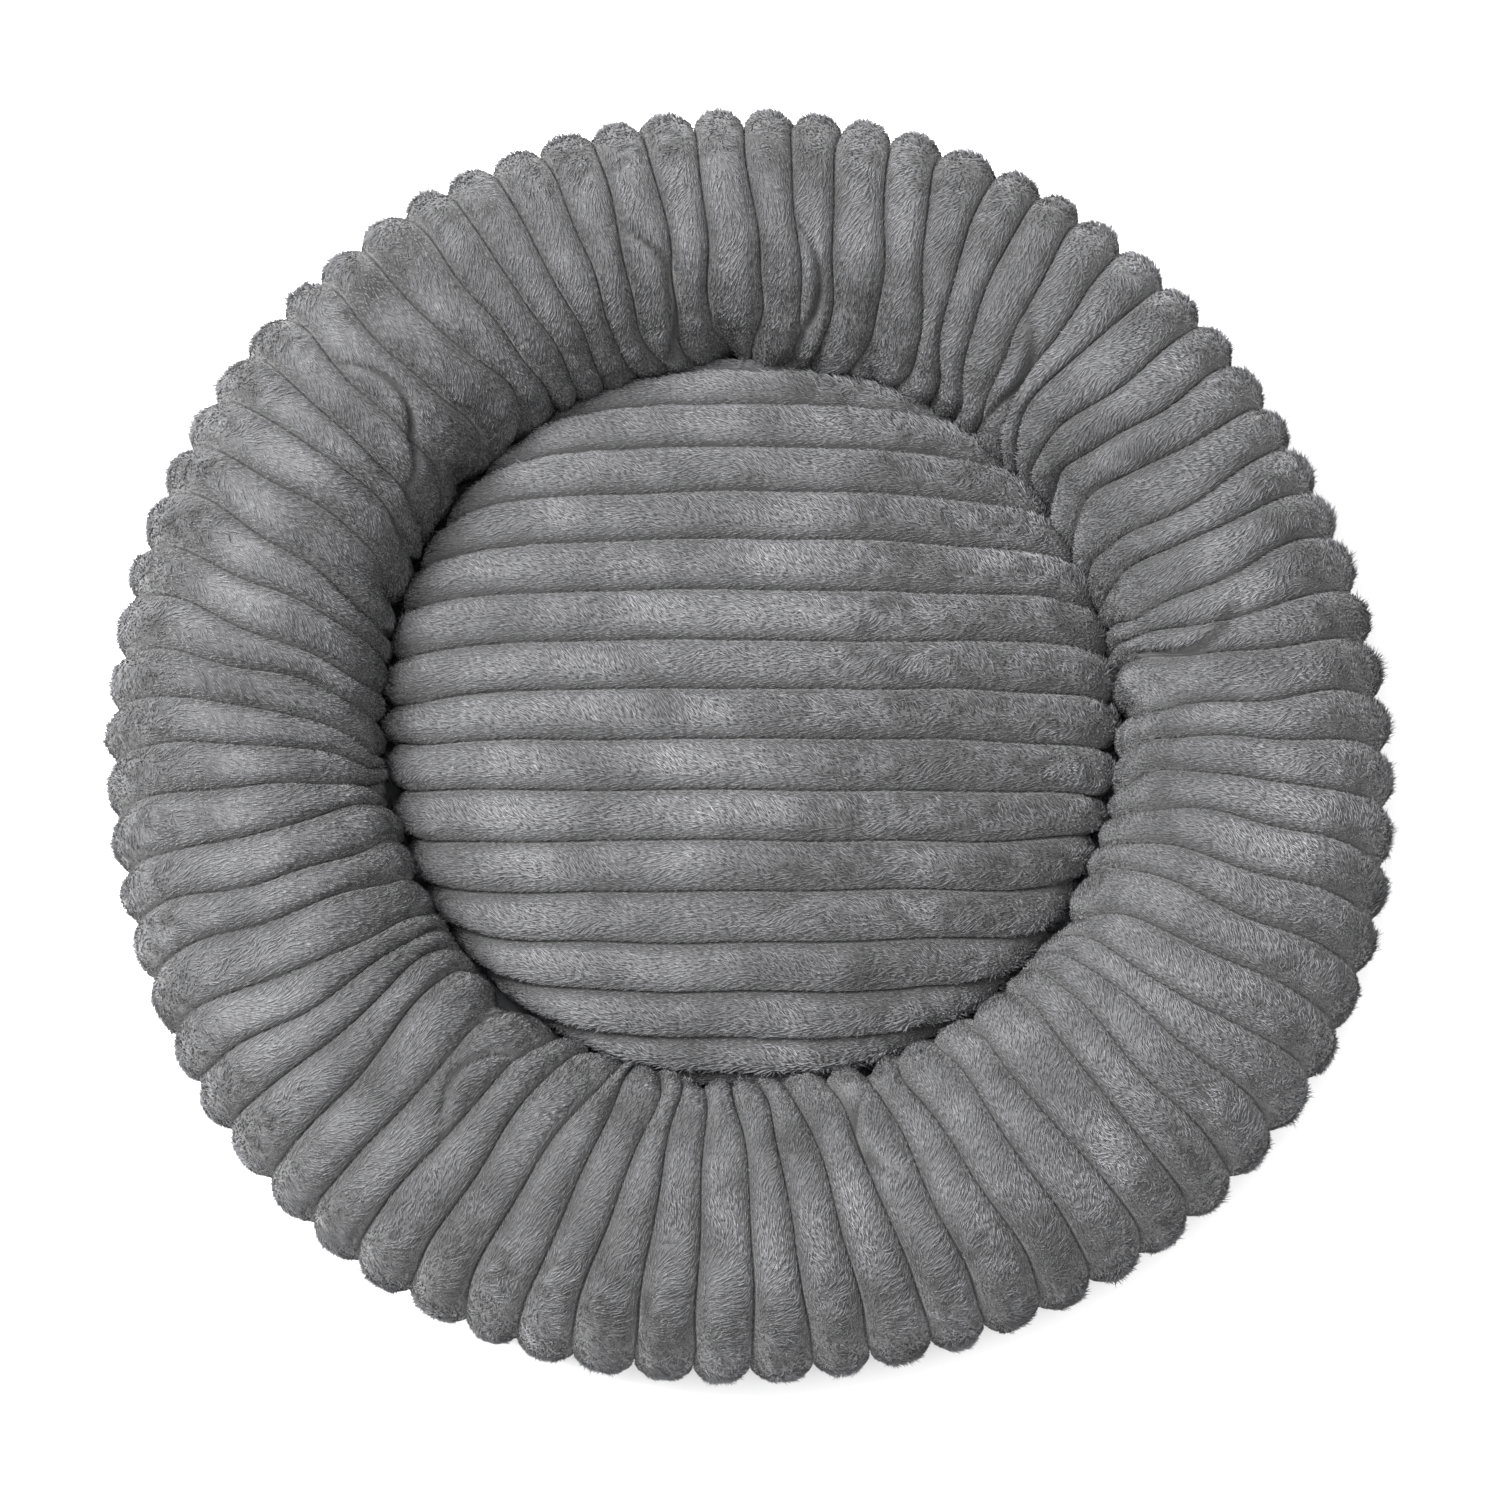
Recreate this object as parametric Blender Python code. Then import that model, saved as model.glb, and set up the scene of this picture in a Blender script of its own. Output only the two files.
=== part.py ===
"""Round bolster bed for a cat or small dog, modelled as it is sewn together.

A plush ring is stuffed like a tyre and sewn to a round base. A loose cushion drops into the ring.
A curved zip low in the rear wall of the ring lets the stuffing out for washing.
Metres, +Z up. The origin is on the floor, under the middle of the ring. The front faces -Y and the
zip is at +Y.
"""

import math

import bmesh
import bpy
from mathutils import Matrix

# Overall sizes
BED_DIAMETER = 0.600
RING_HEIGHT = 0.165
OPENING_DIAMETER = 0.340
OPENING_SHIFT = 0.015  # the front of the ring is stuffed fuller, so the opening sits towards the rear
RING_ROUNDNESS = 2.3  # exponent of the ring's section: 2 is an ellipse, more is squarer
RING_BELLY = 0.47  # height of the ring's widest place, as a share of its height
RING_UNDERSIDE = 0.105  # how far its sides would reach below that place if it didn't lie flat

# Cloth, wadding and the gaps that keep neighbouring pieces apart
PLUSH_WALL = 0.009  # backing cloth with its pile
BASE_CLOTH = 0.0020
LINING_CLOTH = 0.0015
LINER_WALL = 0.0010
PAD_THICKNESS = 0.010
SEWN_GAP = 0.0003  # between two pieces that touch
FILLING_GAP = 0.0012  # between a filling and its bag, whose facets don't line up
LINER_ROOM = 0.0060  # between the ring's cover and its inner bag, where the back of the zip runs

# Cushion
CUSHION_CLEARANCE = 0.0018  # all round, where the ring is tightest
CUSHION_CROWN = 0.100  # height of the cushion's middle above the floor
CUSHION_RIM = 0.052  # height of its widest place
CUSHION_SEAM = 0.034  # height of the seam that joins its two covers
CUSHION_UNDERSIDE = 0.060  # how far its sides would reach below the rim if it didn't lie flat
CUSHION_ROUNDNESS = 2.5

# Zip
ZIP_LENGTH = 0.400
ZIP_HEIGHT = 0.031  # of the chain above the floor
ZIP_SLOT = 0.013  # opening in the plush
ZIP_TAPE_REACH = 0.0075  # of each tape behind the plush
ZIP_TAPE = 0.0008
ZIP_TAPE_GAP = 0.0013  # between the tapes and the plush in front of them
CHAIN_GAP = 0.0010  # between the two rows of teeth
TOOTH_WIDTH = 0.0020
TOOTH_HEIGHT = 0.0020
STOP_LENGTH = 0.0040
SLIDER_LENGTH = 0.0110
SLIDER_WIDTH = 0.0090
SLIDER_PLATE = 0.0014
SLIDER_POST = 0.0004
SLIDER_GAP = 0.0007  # between its plates and the tapes and teeth that run through it
BRIDGE_WIDTH = 0.0016
BRIDGE_BAR = 0.0008
BRIDGE_SPAN = 0.0064
PULL_LENGTH = 0.0240
PULL_WIDTH = 0.0050
PULL_THICKNESS = 0.0010
PULL_PIN_HEIGHT = 0.0010  # of the pull's hinge above the slider's plate
PULL_ARM = 0.0013

# Facets
FACET_DEPTH = 0.0004  # how far the middle of a facet may lie inside the round it stands for
CUSHION_STEPS = 40
ARC_STEPS = 12
ZIP_STEPS = 32

# Worked out from the sizes above
BED_RADIUS = BED_DIAMETER / 2
OPENING_RADIUS = OPENING_DIAMETER / 2
CREST_RADIUS = (BED_RADIUS + OPENING_RADIUS) / 2
RING_HALF_WIDTH = (BED_RADIUS - OPENING_RADIUS) / 2
BELLY_HEIGHT = RING_HEIGHT * RING_BELLY
RING_FOOT = BASE_CLOTH + SEWN_GAP
PAD_TOP = RING_FOOT + PAD_THICKNESS
LINING_BOTTOM = PAD_TOP + SEWN_GAP
CUSHION_FOOT = LINING_BOTTOM + LINING_CLOTH + SEWN_GAP
CUSHION_RADIUS = OPENING_RADIUS - CUSHION_CLEARANCE
RING_STEPS = 4 * math.ceil(math.pi / math.acos(1 - FACET_DEPTH / BED_RADIUS) / 4)


# ---------------------------------------------------------------- outlines

def oval_point(turn, half_width, half_height, roundness):
    """A point of a rounded oval about its own middle; turn runs from 0 at the outside over the top."""
    across = math.copysign(abs(math.cos(turn)) ** (2 / roundness), math.cos(turn))
    up = math.copysign(abs(math.sin(turn)) ** (2 / roundness), math.sin(turn))
    return half_width * across, half_height * up


def turn_at_depth(depth, half_height, roundness):
    """How far below its widest place, as a turn, an oval is this deep."""
    return math.asin((depth / half_height) ** (roundness / 2))


def ring_point(turn, inset):
    """(radius, height) of the ring's section, this far inside its outer surface."""
    reach = RING_HEIGHT - BELLY_HEIGHT if 0 < turn < math.pi else RING_UNDERSIDE
    across, up = oval_point(turn, RING_HALF_WIDTH - inset, reach - inset, RING_ROUNDNESS)
    return CREST_RADIUS + across, BELLY_HEIGHT + up


def ring_turn_at(height, inset):
    """The turn, below the widest place, at which the ring's outer side has this height."""
    return -turn_at_depth(BELLY_HEIGHT - height, RING_UNDERSIDE - inset, RING_ROUNDNESS)


def ring_arch(inset, foot, steps):
    """The ring's section from its outer foot over the crest to its inner foot."""
    low = ring_turn_at(foot, inset)
    high = math.pi - low
    return [ring_point(low + (high - low) * i / steps, inset) for i in range(steps + 1)]


def cushion_point(turn, inset):
    reach = CUSHION_CROWN - CUSHION_RIM if turn > 0 else CUSHION_UNDERSIDE
    across, up = oval_point(turn, CUSHION_RADIUS - inset, reach - inset, CUSHION_ROUNDNESS)
    return across, CUSHION_RIM + up


def cushion_side(inset, height_from, height_to, steps):
    """The cushion's section between two heights under its widest place, or from the middle of its top."""
    reach = CUSHION_UNDERSIDE - inset
    turns = [
        math.pi / 2 if height >= CUSHION_CROWN
        else -turn_at_depth(CUSHION_RIM - height, reach, CUSHION_ROUNDNESS)
        for height in (height_from, height_to)
    ]
    return [
        cushion_point(turns[0] + (turns[1] - turns[0]) * i / steps, inset) for i in range(steps + 1)
    ]


# ---------------------------------------------------------------- mesh helpers

def shift_opening(mesh):
    """Moves what is inside the ring's crest towards the rear, the more the nearer it is to the opening."""
    for vertex in mesh.verts:
        radius = math.hypot(vertex.co.x, vertex.co.y)
        share = (CREST_RADIUS - radius) / (CREST_RADIUS - OPENING_RADIUS)
        vertex.co.y += OPENING_SHIFT * min(1.0, max(0.0, share))


def add_object(name, mesh, material, parent=None):
    bmesh.ops.recalc_face_normals(mesh, faces=mesh.faces)
    data = bpy.data.meshes.new(name)
    mesh.to_mesh(data)
    mesh.free()
    obj = bpy.data.objects.new(name, data)
    data.materials.append(material)
    data.shade_smooth()
    data.set_sharp_from_angle(angle=math.radians(35))
    obj.parent = parent
    bpy.context.scene.collection.objects.link(obj)
    return obj


def turned(name, outline, material, steps, closed=True, shifted=True):
    """Spins an outline of (radius, height) about the vertical axis. An open outline ends on the axis."""
    mesh = bmesh.new()
    points = [mesh.verts.new((radius, 0, height)) for radius, height in outline]
    pairs = list(zip(points, points[1:]))
    if closed:
        pairs.append((points[-1], points[0]))
    edges = [mesh.edges.new(pair) for pair in pairs]
    bmesh.ops.spin(
        mesh, geom=points + edges, axis=(0, 0, 1), cent=(0, 0, 0),
        angle=2 * math.pi, steps=steps, use_merge=True,
    )
    bmesh.ops.remove_doubles(mesh, verts=mesh.verts, dist=1e-6)
    if shifted:
        shift_opening(mesh)
    return add_object(name, mesh, material)


def swept(name, outline, material, angle_from, angle_to, steps):
    """Sweeps a closed outline of (radius, height) round part of a circle and closes its two ends."""
    mesh = bmesh.new()
    points = [mesh.verts.new((radius, 0, height)) for radius, height in outline]
    edges = [mesh.edges.new(pair) for pair in zip(points, points[1:] + points[:1])]
    bmesh.ops.rotate(mesh, verts=points, cent=(0, 0, 0), matrix=Matrix.Rotation(angle_from, 3, "Z"))
    bmesh.ops.spin(
        mesh, geom=points + edges, axis=(0, 0, 1), cent=(0, 0, 0),
        angle=angle_to - angle_from, steps=steps,
    )
    bmesh.ops.holes_fill(mesh, edges=[edge for edge in mesh.edges if edge.is_boundary])
    return add_object(name, mesh, material)


def block(name, low, high, material, parent):
    """A rectangular block between two corners, in its parent's frame."""
    mesh = bmesh.new()
    size = [b - a for a, b in zip(low, high)]
    middle = [(a + b) / 2 for a, b in zip(low, high)]
    bmesh.ops.create_cube(mesh, size=1, matrix=Matrix.Translation(middle) @ Matrix.Diagonal((*size, 1)))
    return add_object(name, mesh, material, parent)


def boolean(target, tool, operation):
    modifier = target.modifiers.new(operation.title() + " " + tool.name, "BOOLEAN")
    modifier.operation = operation
    modifier.solver = "EXACT"
    modifier.object = tool
    tool.hide_render = True
    tool.display_type = "WIRE"


def empty(name, parent=None, location=(0, 0, 0), rotation=(0, 0, 0)):
    obj = bpy.data.objects.new(name, None)
    obj.parent = parent
    obj.location = location
    obj.rotation_euler = rotation
    bpy.context.scene.collection.objects.link(obj)
    return obj


def material(name, color, roughness, metallic=0.0):
    made = bpy.data.materials.new(name)
    made.use_nodes = True
    shader = made.node_tree.nodes["Principled BSDF"]
    shader.inputs["Base Color"].default_value = (*color, 1)
    shader.inputs["Roughness"].default_value = roughness
    shader.inputs["Metallic"].default_value = metallic
    return made


# ---------------------------------------------------------------- ring

def ring_cover(plush):
    """The plush strip of the ring: open underneath, where the base closes it."""
    outline = ring_arch(0, RING_FOOT, ARC_STEPS * 2)
    outline += reversed(ring_arch(PLUSH_WALL, RING_FOOT, ARC_STEPS * 2))
    return turned("ring_cover", outline, plush, RING_STEPS)


def ring_liner(cloth):
    """The inner bag that holds the ring's filling, with its closing seam underneath."""
    outside = PLUSH_WALL + LINER_ROOM
    inside = outside + LINER_WALL
    seam = SEWN_GAP
    top_of_foot = RING_FOOT + LINER_WALL
    outline = [(CREST_RADIUS + seam, RING_FOOT)]
    outline += ring_arch(outside, RING_FOOT, ARC_STEPS)
    outline += [(CREST_RADIUS - seam, RING_FOOT), (CREST_RADIUS - seam, top_of_foot)]
    outline += reversed(ring_arch(inside, top_of_foot, ARC_STEPS))
    outline += [(CREST_RADIUS + seam, top_of_foot)]
    return turned("ring_liner", outline, cloth, CUSHION_STEPS)


def ring_filling(fibre):
    inset = PLUSH_WALL + LINER_ROOM + LINER_WALL + FILLING_GAP
    foot = RING_FOOT + LINER_WALL + SEWN_GAP
    return turned("ring_filling", ring_arch(inset, foot, ARC_STEPS), fibre, CUSHION_STEPS)


# ---------------------------------------------------------------- base

def disc(name, radius, bottom, top, material_, shifted=True):
    outline = [(0, top), (radius, top), (radius, bottom), (0, bottom)]
    return turned(name, outline, material_, RING_STEPS, closed=False, shifted=shifted)


def base(grip_cloth, wadding, lining_cloth):
    outer_seam = ring_point(ring_turn_at(RING_FOOT, 0), 0)[0]
    inner_seam = ring_point(math.pi - ring_turn_at(RING_FOOT, PLUSH_WALL), PLUSH_WALL)[0]
    inner_foot = ring_point(math.pi - ring_turn_at(PAD_TOP + LINING_CLOTH, 0), 0)[0]
    floor_radius = min(2 * CREST_RADIUS - outer_seam, inner_seam, inner_foot) - SEWN_GAP
    disc("base_panel", outer_seam, 0, BASE_CLOTH, grip_cloth, shifted=False)
    disc("base_pad", floor_radius - SEWN_GAP, RING_FOOT, PAD_TOP, wadding)
    disc("base_lining", floor_radius - SEWN_GAP, LINING_BOTTOM, LINING_BOTTOM + LINING_CLOTH, lining_cloth)


# ---------------------------------------------------------------- cushion

def cushion(plush, cloth, fibre, lift_axis):
    """The loose cushion: a plush top that wraps over its rim, a plain underside, and its filling."""
    over_seam = CUSHION_SEAM + SEWN_GAP / 2
    under_seam = CUSHION_SEAM - SEWN_GAP / 2
    top_skin = cushion_side(0, CUSHION_CROWN, over_seam, ARC_STEPS)
    top_skin += reversed(cushion_side(PLUSH_WALL, CUSHION_CROWN, over_seam, ARC_STEPS))
    inner_foot = CUSHION_FOOT + LINING_CLOTH
    bottom_skin = [(0, CUSHION_FOOT)]
    bottom_skin += reversed(cushion_side(0, under_seam, CUSHION_FOOT, ARC_STEPS // 2))
    bottom_skin += cushion_side(LINING_CLOTH, under_seam, inner_foot, ARC_STEPS // 2)
    bottom_skin += [(0, inner_foot)]
    inset = PLUSH_WALL + FILLING_GAP
    stuffing = cushion_side(inset, CUSHION_CROWN, inner_foot + SEWN_GAP, ARC_STEPS)
    stuffing += [(0, inner_foot + SEWN_GAP)]
    made = [
        turned("cushion_top_cover", top_skin, plush, CUSHION_STEPS, closed=False),
        turned("cushion_underside", bottom_skin, cloth, CUSHION_STEPS, closed=False),
        turned("cushion_filling", stuffing, fibre, CUSHION_STEPS, closed=False),
    ]
    for piece in made:
        piece.parent = lift_axis


# ---------------------------------------------------------------- zip

def zip_frame():
    """Where the chain runs: (radius, height) of the tapes' outer face, and the wall's lean there."""
    inset = PLUSH_WALL + ZIP_TAPE_GAP
    turn = ring_turn_at(ZIP_HEIGHT, inset)
    nudge = 1e-4
    low, high = ring_point(turn - nudge, inset), ring_point(turn + nudge, inset)
    lean = math.atan2(high[0] - low[0], high[1] - low[1])
    return (*ring_point(turn, inset), lean)


def on_wall(frame, out, up):
    """(radius, height) of a point given by its distance out of the wall and up along it."""
    radius, height, lean = frame
    return (
        radius + out * math.cos(lean) + up * math.sin(lean),
        height - out * math.sin(lean) + up * math.cos(lean),
    )


def wall_box(frame, out_from, out_to, up_from, up_to):
    corners = [(out_from, up_from), (out_to, up_from), (out_to, up_to), (out_from, up_to)]
    return [on_wall(frame, out, up) for out, up in corners]


def tape_outline(frame, side):
    """One tape: flat where the slider runs, then along the curve of the plush; side is 1 above, -1 below."""
    flat_end = SLIDER_WIDTH / 2 + SLIDER_GAP
    reach = ZIP_SLOT / 2 + ZIP_TAPE_REACH
    steps = 4
    rises = [flat_end + (reach - flat_end) * i / steps for i in range(1, steps + 1)]
    heights = [on_wall(frame, 0, side * rise)[1] for rise in rises]

    def face(out):
        inset = PLUSH_WALL + ZIP_TAPE_GAP - out
        flat = [on_wall(frame, out, side * CHAIN_GAP / 2), on_wall(frame, out, side * flat_end)]
        return flat + [ring_point(ring_turn_at(height, inset), inset) for height in heights]

    return face(0) + face(-ZIP_TAPE)[::-1]


def zip_slider(frame, angle, metal):
    """The slider's plates, the post between the tapes and the bridge that holds the pull."""
    radius, height, lean = frame
    run_axis = empty("zip_run_axis", location=(0, 0, height), rotation=(0, 0, angle))
    seat = empty("zip_slider_seat", run_axis, (radius, 0, 0), (0, lean, 0))
    half_length, half_width = SLIDER_LENGTH / 2, SLIDER_WIDTH / 2
    plate_under = SEWN_GAP + TOOTH_HEIGHT + SLIDER_GAP
    plate_top = plate_under + SLIDER_PLATE
    back_top = -ZIP_TAPE - SLIDER_GAP
    back_under = back_top - SLIDER_PLATE
    lip = CHAIN_GAP / 2 + TOOTH_WIDTH + SEWN_GAP
    pin = plate_top + PULL_PIN_HEIGHT
    bridge_under = pin + PULL_THICKNESS * 1.2
    bridge_top = bridge_under + BRIDGE_BAR
    half_bridge, half_span = BRIDGE_WIDTH / 2, BRIDGE_SPAN / 2
    sunk = BRIDGE_BAR / 2  # joined blocks run into each other by this much

    slider = block(
        "zip_slider", (plate_under, -half_length, -half_width), (plate_top, half_length, half_width),
        metal, seat,
    )
    rest = [
        ("lip_above", (SLIDER_GAP, -half_length, lip), (plate_under + sunk, half_length, half_width)),
        ("lip_below", (SLIDER_GAP, -half_length, -half_width), (plate_under + sunk, half_length, -lip)),
        ("back", (back_under, -half_length, -half_width), (back_top, half_length, half_width)),
        (
            "post", (back_top - sunk, -half_length / 2, -SLIDER_POST / 2),
            (plate_under + sunk, half_length / 2, SLIDER_POST / 2),
        ),
        ("bridge", (bridge_under, -half_span, -half_bridge), (bridge_top, half_span, half_bridge)),
        (
            "bridge_foot_1", (plate_top - sunk, -half_span, -half_bridge),
            (bridge_under + sunk, -half_span + BRIDGE_BAR, half_bridge),
        ),
        (
            "bridge_foot_2", (plate_top - sunk, half_span - BRIDGE_BAR, -half_bridge),
            (bridge_under + sunk, half_span, half_bridge),
        ),
    ]
    for name, low, high in rest:
        boolean(slider, block("slider_" + name, low, high, metal, seat), "UNION")
    return seat, pin


def closed_outline(curve, points):
    spline = curve.splines.new("POLY")
    spline.points.add(len(points) - 1)
    for point, (x, y) in zip(spline.points, points):
        point.co = (x, y, 0, 1)
    spline.use_cyclic_u = True


def zip_pull(seat, pin, metal):
    """The tab, with the eye that the slider's bridge passes through. Its origin is on its hinge."""
    half_width = PULL_WIDTH / 2
    bar = PULL_THICKNESS / 2
    eye_end = BRIDGE_SPAN / 2 + PULL_ARM
    eye_half = half_width - PULL_ARM
    tip = PULL_LENGTH - half_width
    round_steps = 10
    tip_arc = [
        (tip + half_width * math.sin(math.pi * i / round_steps), half_width * math.cos(math.pi * i / round_steps))
        for i in range(round_steps + 1)
    ]
    hole_radius = half_width - PULL_ARM
    hole = [
        (tip + hole_radius * math.cos(2 * math.pi * i / round_steps),
         hole_radius * math.sin(2 * math.pi * i / round_steps))
        for i in range(round_steps)
    ]
    curve = bpy.data.curves.new("zip_pull", "CURVE")
    curve.dimensions = "2D"
    curve.fill_mode = "BOTH"
    curve.extrude = PULL_THICKNESS / 2
    closed_outline(curve, [(-bar, half_width)] + tip_arc + [(-bar, -half_width)])
    closed_outline(curve, [(bar, eye_half), (eye_end, eye_half), (eye_end, -eye_half), (bar, -eye_half)])
    closed_outline(curve, hole)
    curve.materials.append(metal)
    pull = bpy.data.objects.new("zip_pull", curve)
    pull.parent = seat
    pull.location = (pin, 0, 0)
    # The curve's X runs back along the closed chain, its Y across the tapes and its Z into the wall.
    pull.matrix_basis = Matrix.Translation((pin, 0, 0)) @ Matrix(
        ((0, 0, -1, 0), (-1, 0, 0, 0), (0, 1, 0, 0), (0, 0, 0, 1))
    )
    bpy.context.scene.collection.objects.link(pull)


def zip_assembly(cover, tape_cloth, nylon, metal):
    frame = zip_frame()
    half_angle = ZIP_LENGTH / frame[0] / 2
    start, end = math.pi / 2 - half_angle, math.pi / 2 + half_angle
    end_run = 2 * STOP_LENGTH / frame[0]
    # At the open end the pull lies past the slider, still in the slot.
    start_run = (PULL_LENGTH - SLIDER_LENGTH / 2 + STOP_LENGTH) / frame[0]
    slot = swept(
        "zip_slot_cutter", wall_box(frame, -2 * ZIP_TAPE, 2 * PLUSH_WALL, -ZIP_SLOT / 2, ZIP_SLOT / 2),
        tape_cloth, start - start_run, end + end_run, ZIP_STEPS,
    )
    boolean(cover, slot, "DIFFERENCE")
    tooth_from = CHAIN_GAP / 2
    stop_angle = STOP_LENGTH / frame[0]
    for name, side in (("upper", 1), ("lower", -1)):
        swept(
            "zip_tape_" + name, tape_outline(frame, side), tape_cloth,
            start - start_run - end_run, end + 2 * end_run, ZIP_STEPS,
        )
        row = sorted((side * tooth_from, side * (tooth_from + TOOTH_WIDTH)))
        swept(
            "zip_teeth_" + name, wall_box(frame, SEWN_GAP, SEWN_GAP + TOOTH_HEIGHT, *row), nylon,
            start, end, ZIP_STEPS,
        )
    reach = tooth_from + TOOTH_WIDTH
    gap_angle = SEWN_GAP / frame[0]
    for name, low, high in (
        ("zip_bottom_stop", start - gap_angle - stop_angle, start - gap_angle),
        ("zip_top_stop", end + gap_angle, end + gap_angle + stop_angle),
    ):
        outline = wall_box(frame, SEWN_GAP, SEWN_GAP * 2 + TOOTH_HEIGHT, -reach, reach)
        swept(name, outline, metal, low, high, 1)
    rest_angle = end - (SLIDER_LENGTH / 2 + SEWN_GAP) / frame[0]
    seat, pin = zip_slider(frame, rest_angle, metal)
    zip_pull(seat, pin, metal)


def main():
    for obj in list(bpy.data.objects):
        bpy.data.objects.remove(obj)
    plush = material("rib plush", (0.165, 0.165, 0.170), 0.95)
    lining_cloth = material("lining cloth", (0.110, 0.112, 0.116), 0.85)
    grip_cloth = material("grip cloth", (0.045, 0.046, 0.050), 0.80)
    liner_cloth = material("liner cloth", (0.720, 0.720, 0.710), 0.80)
    fibre = material("polyester fibre", (0.850, 0.850, 0.840), 0.90)
    tape_cloth = material("zip tape", (0.090, 0.092, 0.096), 0.80)
    nylon = material("zip nylon", (0.075, 0.077, 0.080), 0.45)
    metal = material("zip zinc", (0.450, 0.450, 0.460), 0.35, 1.0)

    cover = ring_cover(plush)
    ring_liner(liner_cloth)
    ring_filling(fibre)
    base(grip_cloth, fibre, lining_cloth)
    lift_axis = empty("cushion_lift_axis")
    cushion(plush, lining_cloth, fibre, lift_axis)
    zip_assembly(cover, tape_cloth, nylon, metal)


main()
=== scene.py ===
# %% [markdown]
# # A round bolster bed for a cat or a small dog
# The bed is a stuffed ring of rib plush on a round base, with a loose cushion inside. This script
# keeps the measured frame of the bed and makes its soft surfaces: bags that are blown up as cloth,
# ribs pressed into them, and a pile of short hairs on top. All lengths are in metres.

# %% Load the frame
import math

import bmesh
import bpy
import numpy as np
from mathutils import Matrix, Vector, noise
from mathutils.bvhtree import BVHTree


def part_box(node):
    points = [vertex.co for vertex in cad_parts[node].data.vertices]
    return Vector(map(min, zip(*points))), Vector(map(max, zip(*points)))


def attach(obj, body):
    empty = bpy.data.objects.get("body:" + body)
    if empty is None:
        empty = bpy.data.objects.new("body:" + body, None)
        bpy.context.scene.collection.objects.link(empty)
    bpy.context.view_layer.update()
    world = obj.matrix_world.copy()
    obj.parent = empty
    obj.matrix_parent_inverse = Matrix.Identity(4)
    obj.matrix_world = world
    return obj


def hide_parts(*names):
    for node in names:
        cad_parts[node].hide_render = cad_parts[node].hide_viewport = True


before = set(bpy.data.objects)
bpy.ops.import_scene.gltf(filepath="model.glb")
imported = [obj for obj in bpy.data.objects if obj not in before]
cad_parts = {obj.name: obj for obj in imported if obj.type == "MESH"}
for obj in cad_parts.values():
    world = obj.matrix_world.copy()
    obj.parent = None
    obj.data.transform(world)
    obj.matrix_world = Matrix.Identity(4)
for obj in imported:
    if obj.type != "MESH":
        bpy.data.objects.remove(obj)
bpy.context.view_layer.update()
MM = 0.001
scene = bpy.context.scene

# %% [markdown]
# ## Sizes read from the frame
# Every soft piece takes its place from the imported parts: the ring's outer and inner circles, its
# height, and the middle of the opening, which sits a little towards the rear because the front of
# the ring is stuffed fuller.

# %% Read the sizes
ring_low, ring_high = (Vector(v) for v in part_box("ring_cover"))
cushion_low, cushion_high = (Vector(v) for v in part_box("cushion_top_cover"))
underside_low, underside_high = (Vector(v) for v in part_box("cushion_underside"))
base_low, base_high = (Vector(v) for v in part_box("base_panel"))
lining_low, lining_high = (Vector(v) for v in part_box("base_lining"))
chain_low, chain_high = (
    Vector(v) for v in (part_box("zip_teeth_lower")[0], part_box("zip_teeth_upper")[1])
)
BED_RADIUS = (ring_high.x - ring_low.x) / 2
CUSHION_RADIUS = (cushion_high.x - cushion_low.x) / 2
CUSHION_SLACK = 2 * MM  # the clean ring leaves this much round the cushion
OPENING_RADIUS = CUSHION_RADIUS + CUSHION_SLACK
OPENING_SHIFT = (cushion_high.y + cushion_low.y) / 2
CREST_RADIUS = (BED_RADIUS + OPENING_RADIUS) / 2
RING_HALF_WIDTH = (BED_RADIUS - OPENING_RADIUS) / 2
BELLY = ring_high.z * 0.47  # height of the ring's widest place
UNDERSIDE_REACH = 105 * MM  # how far down the lower oval would go if the flat foot didn't cut it
ROUNDNESS = 2.3  # 2 is an ellipse, and more is squarer
ZIP_HEIGHT = (chain_low.z + chain_high.z) / 2
print("opening: radius %.1f mm, %.1f mm behind the middle" % (OPENING_RADIUS / MM, OPENING_SHIFT / MM))

# %% [markdown]
# ## Small helpers
# Colours are written as the hex values a designer would pick and turned to linear light once. One
# function adds a node to a tree, for shaders and for geometry alike.

# %% Helpers for nodes
def linear(code):
    """The linear colour of an sRGB hex value."""
    shares = [int(code[i:i + 2], 16) / 255 for i in (0, 2, 4)]
    return (*(s / 12.92 if s <= 0.04045 else ((s + 0.055) / 1.055) ** 2.4 for s in shares), 1)


def add(tree, kind, settings=None, inputs=None):
    """Adds a node with its settings. An input is a value, or the output socket it is linked to."""
    node = tree.nodes.new(kind)
    for name, value in (settings or {}).items():
        setattr(node, name, value)
    for key, value in (inputs or {}).items():
        if isinstance(value, bpy.types.NodeSocket):
            tree.links.new(value, node.inputs[key])
        else:
            node.inputs[key].default_value = value
    return node


# %% Helpers for meshes
def coordinates(mesh):
    found = np.empty(len(mesh.vertices) * 3)
    mesh.vertices.foreach_get("co", found)
    return found.reshape(-1, 3)


def move_to(mesh, places):
    mesh.vertices.foreach_set("co", places.ravel())
    mesh.update()


def normals(mesh):
    found = np.empty(len(mesh.vertices) * 3)
    mesh.vertex_normals.foreach_get("vector", found)
    return found.reshape(-1, 3)


def read(mesh, name, width=1):
    values = np.empty(len(mesh.vertices) * width, dtype=np.float32)
    mesh.attributes[name].data.foreach_get("vector" if width == 3 else "value", values)
    return values.reshape(-1, width) if width > 1 else values


def write(mesh, name, values):
    kind = "FLOAT_VECTOR" if values.ndim == 2 else "FLOAT"
    attribute = mesh.attributes.get(name) or mesh.attributes.new(name, kind, "POINT")
    attribute.data.foreach_set("vector" if values.ndim == 2 else "value", values.astype(np.float32).ravel())


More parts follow.
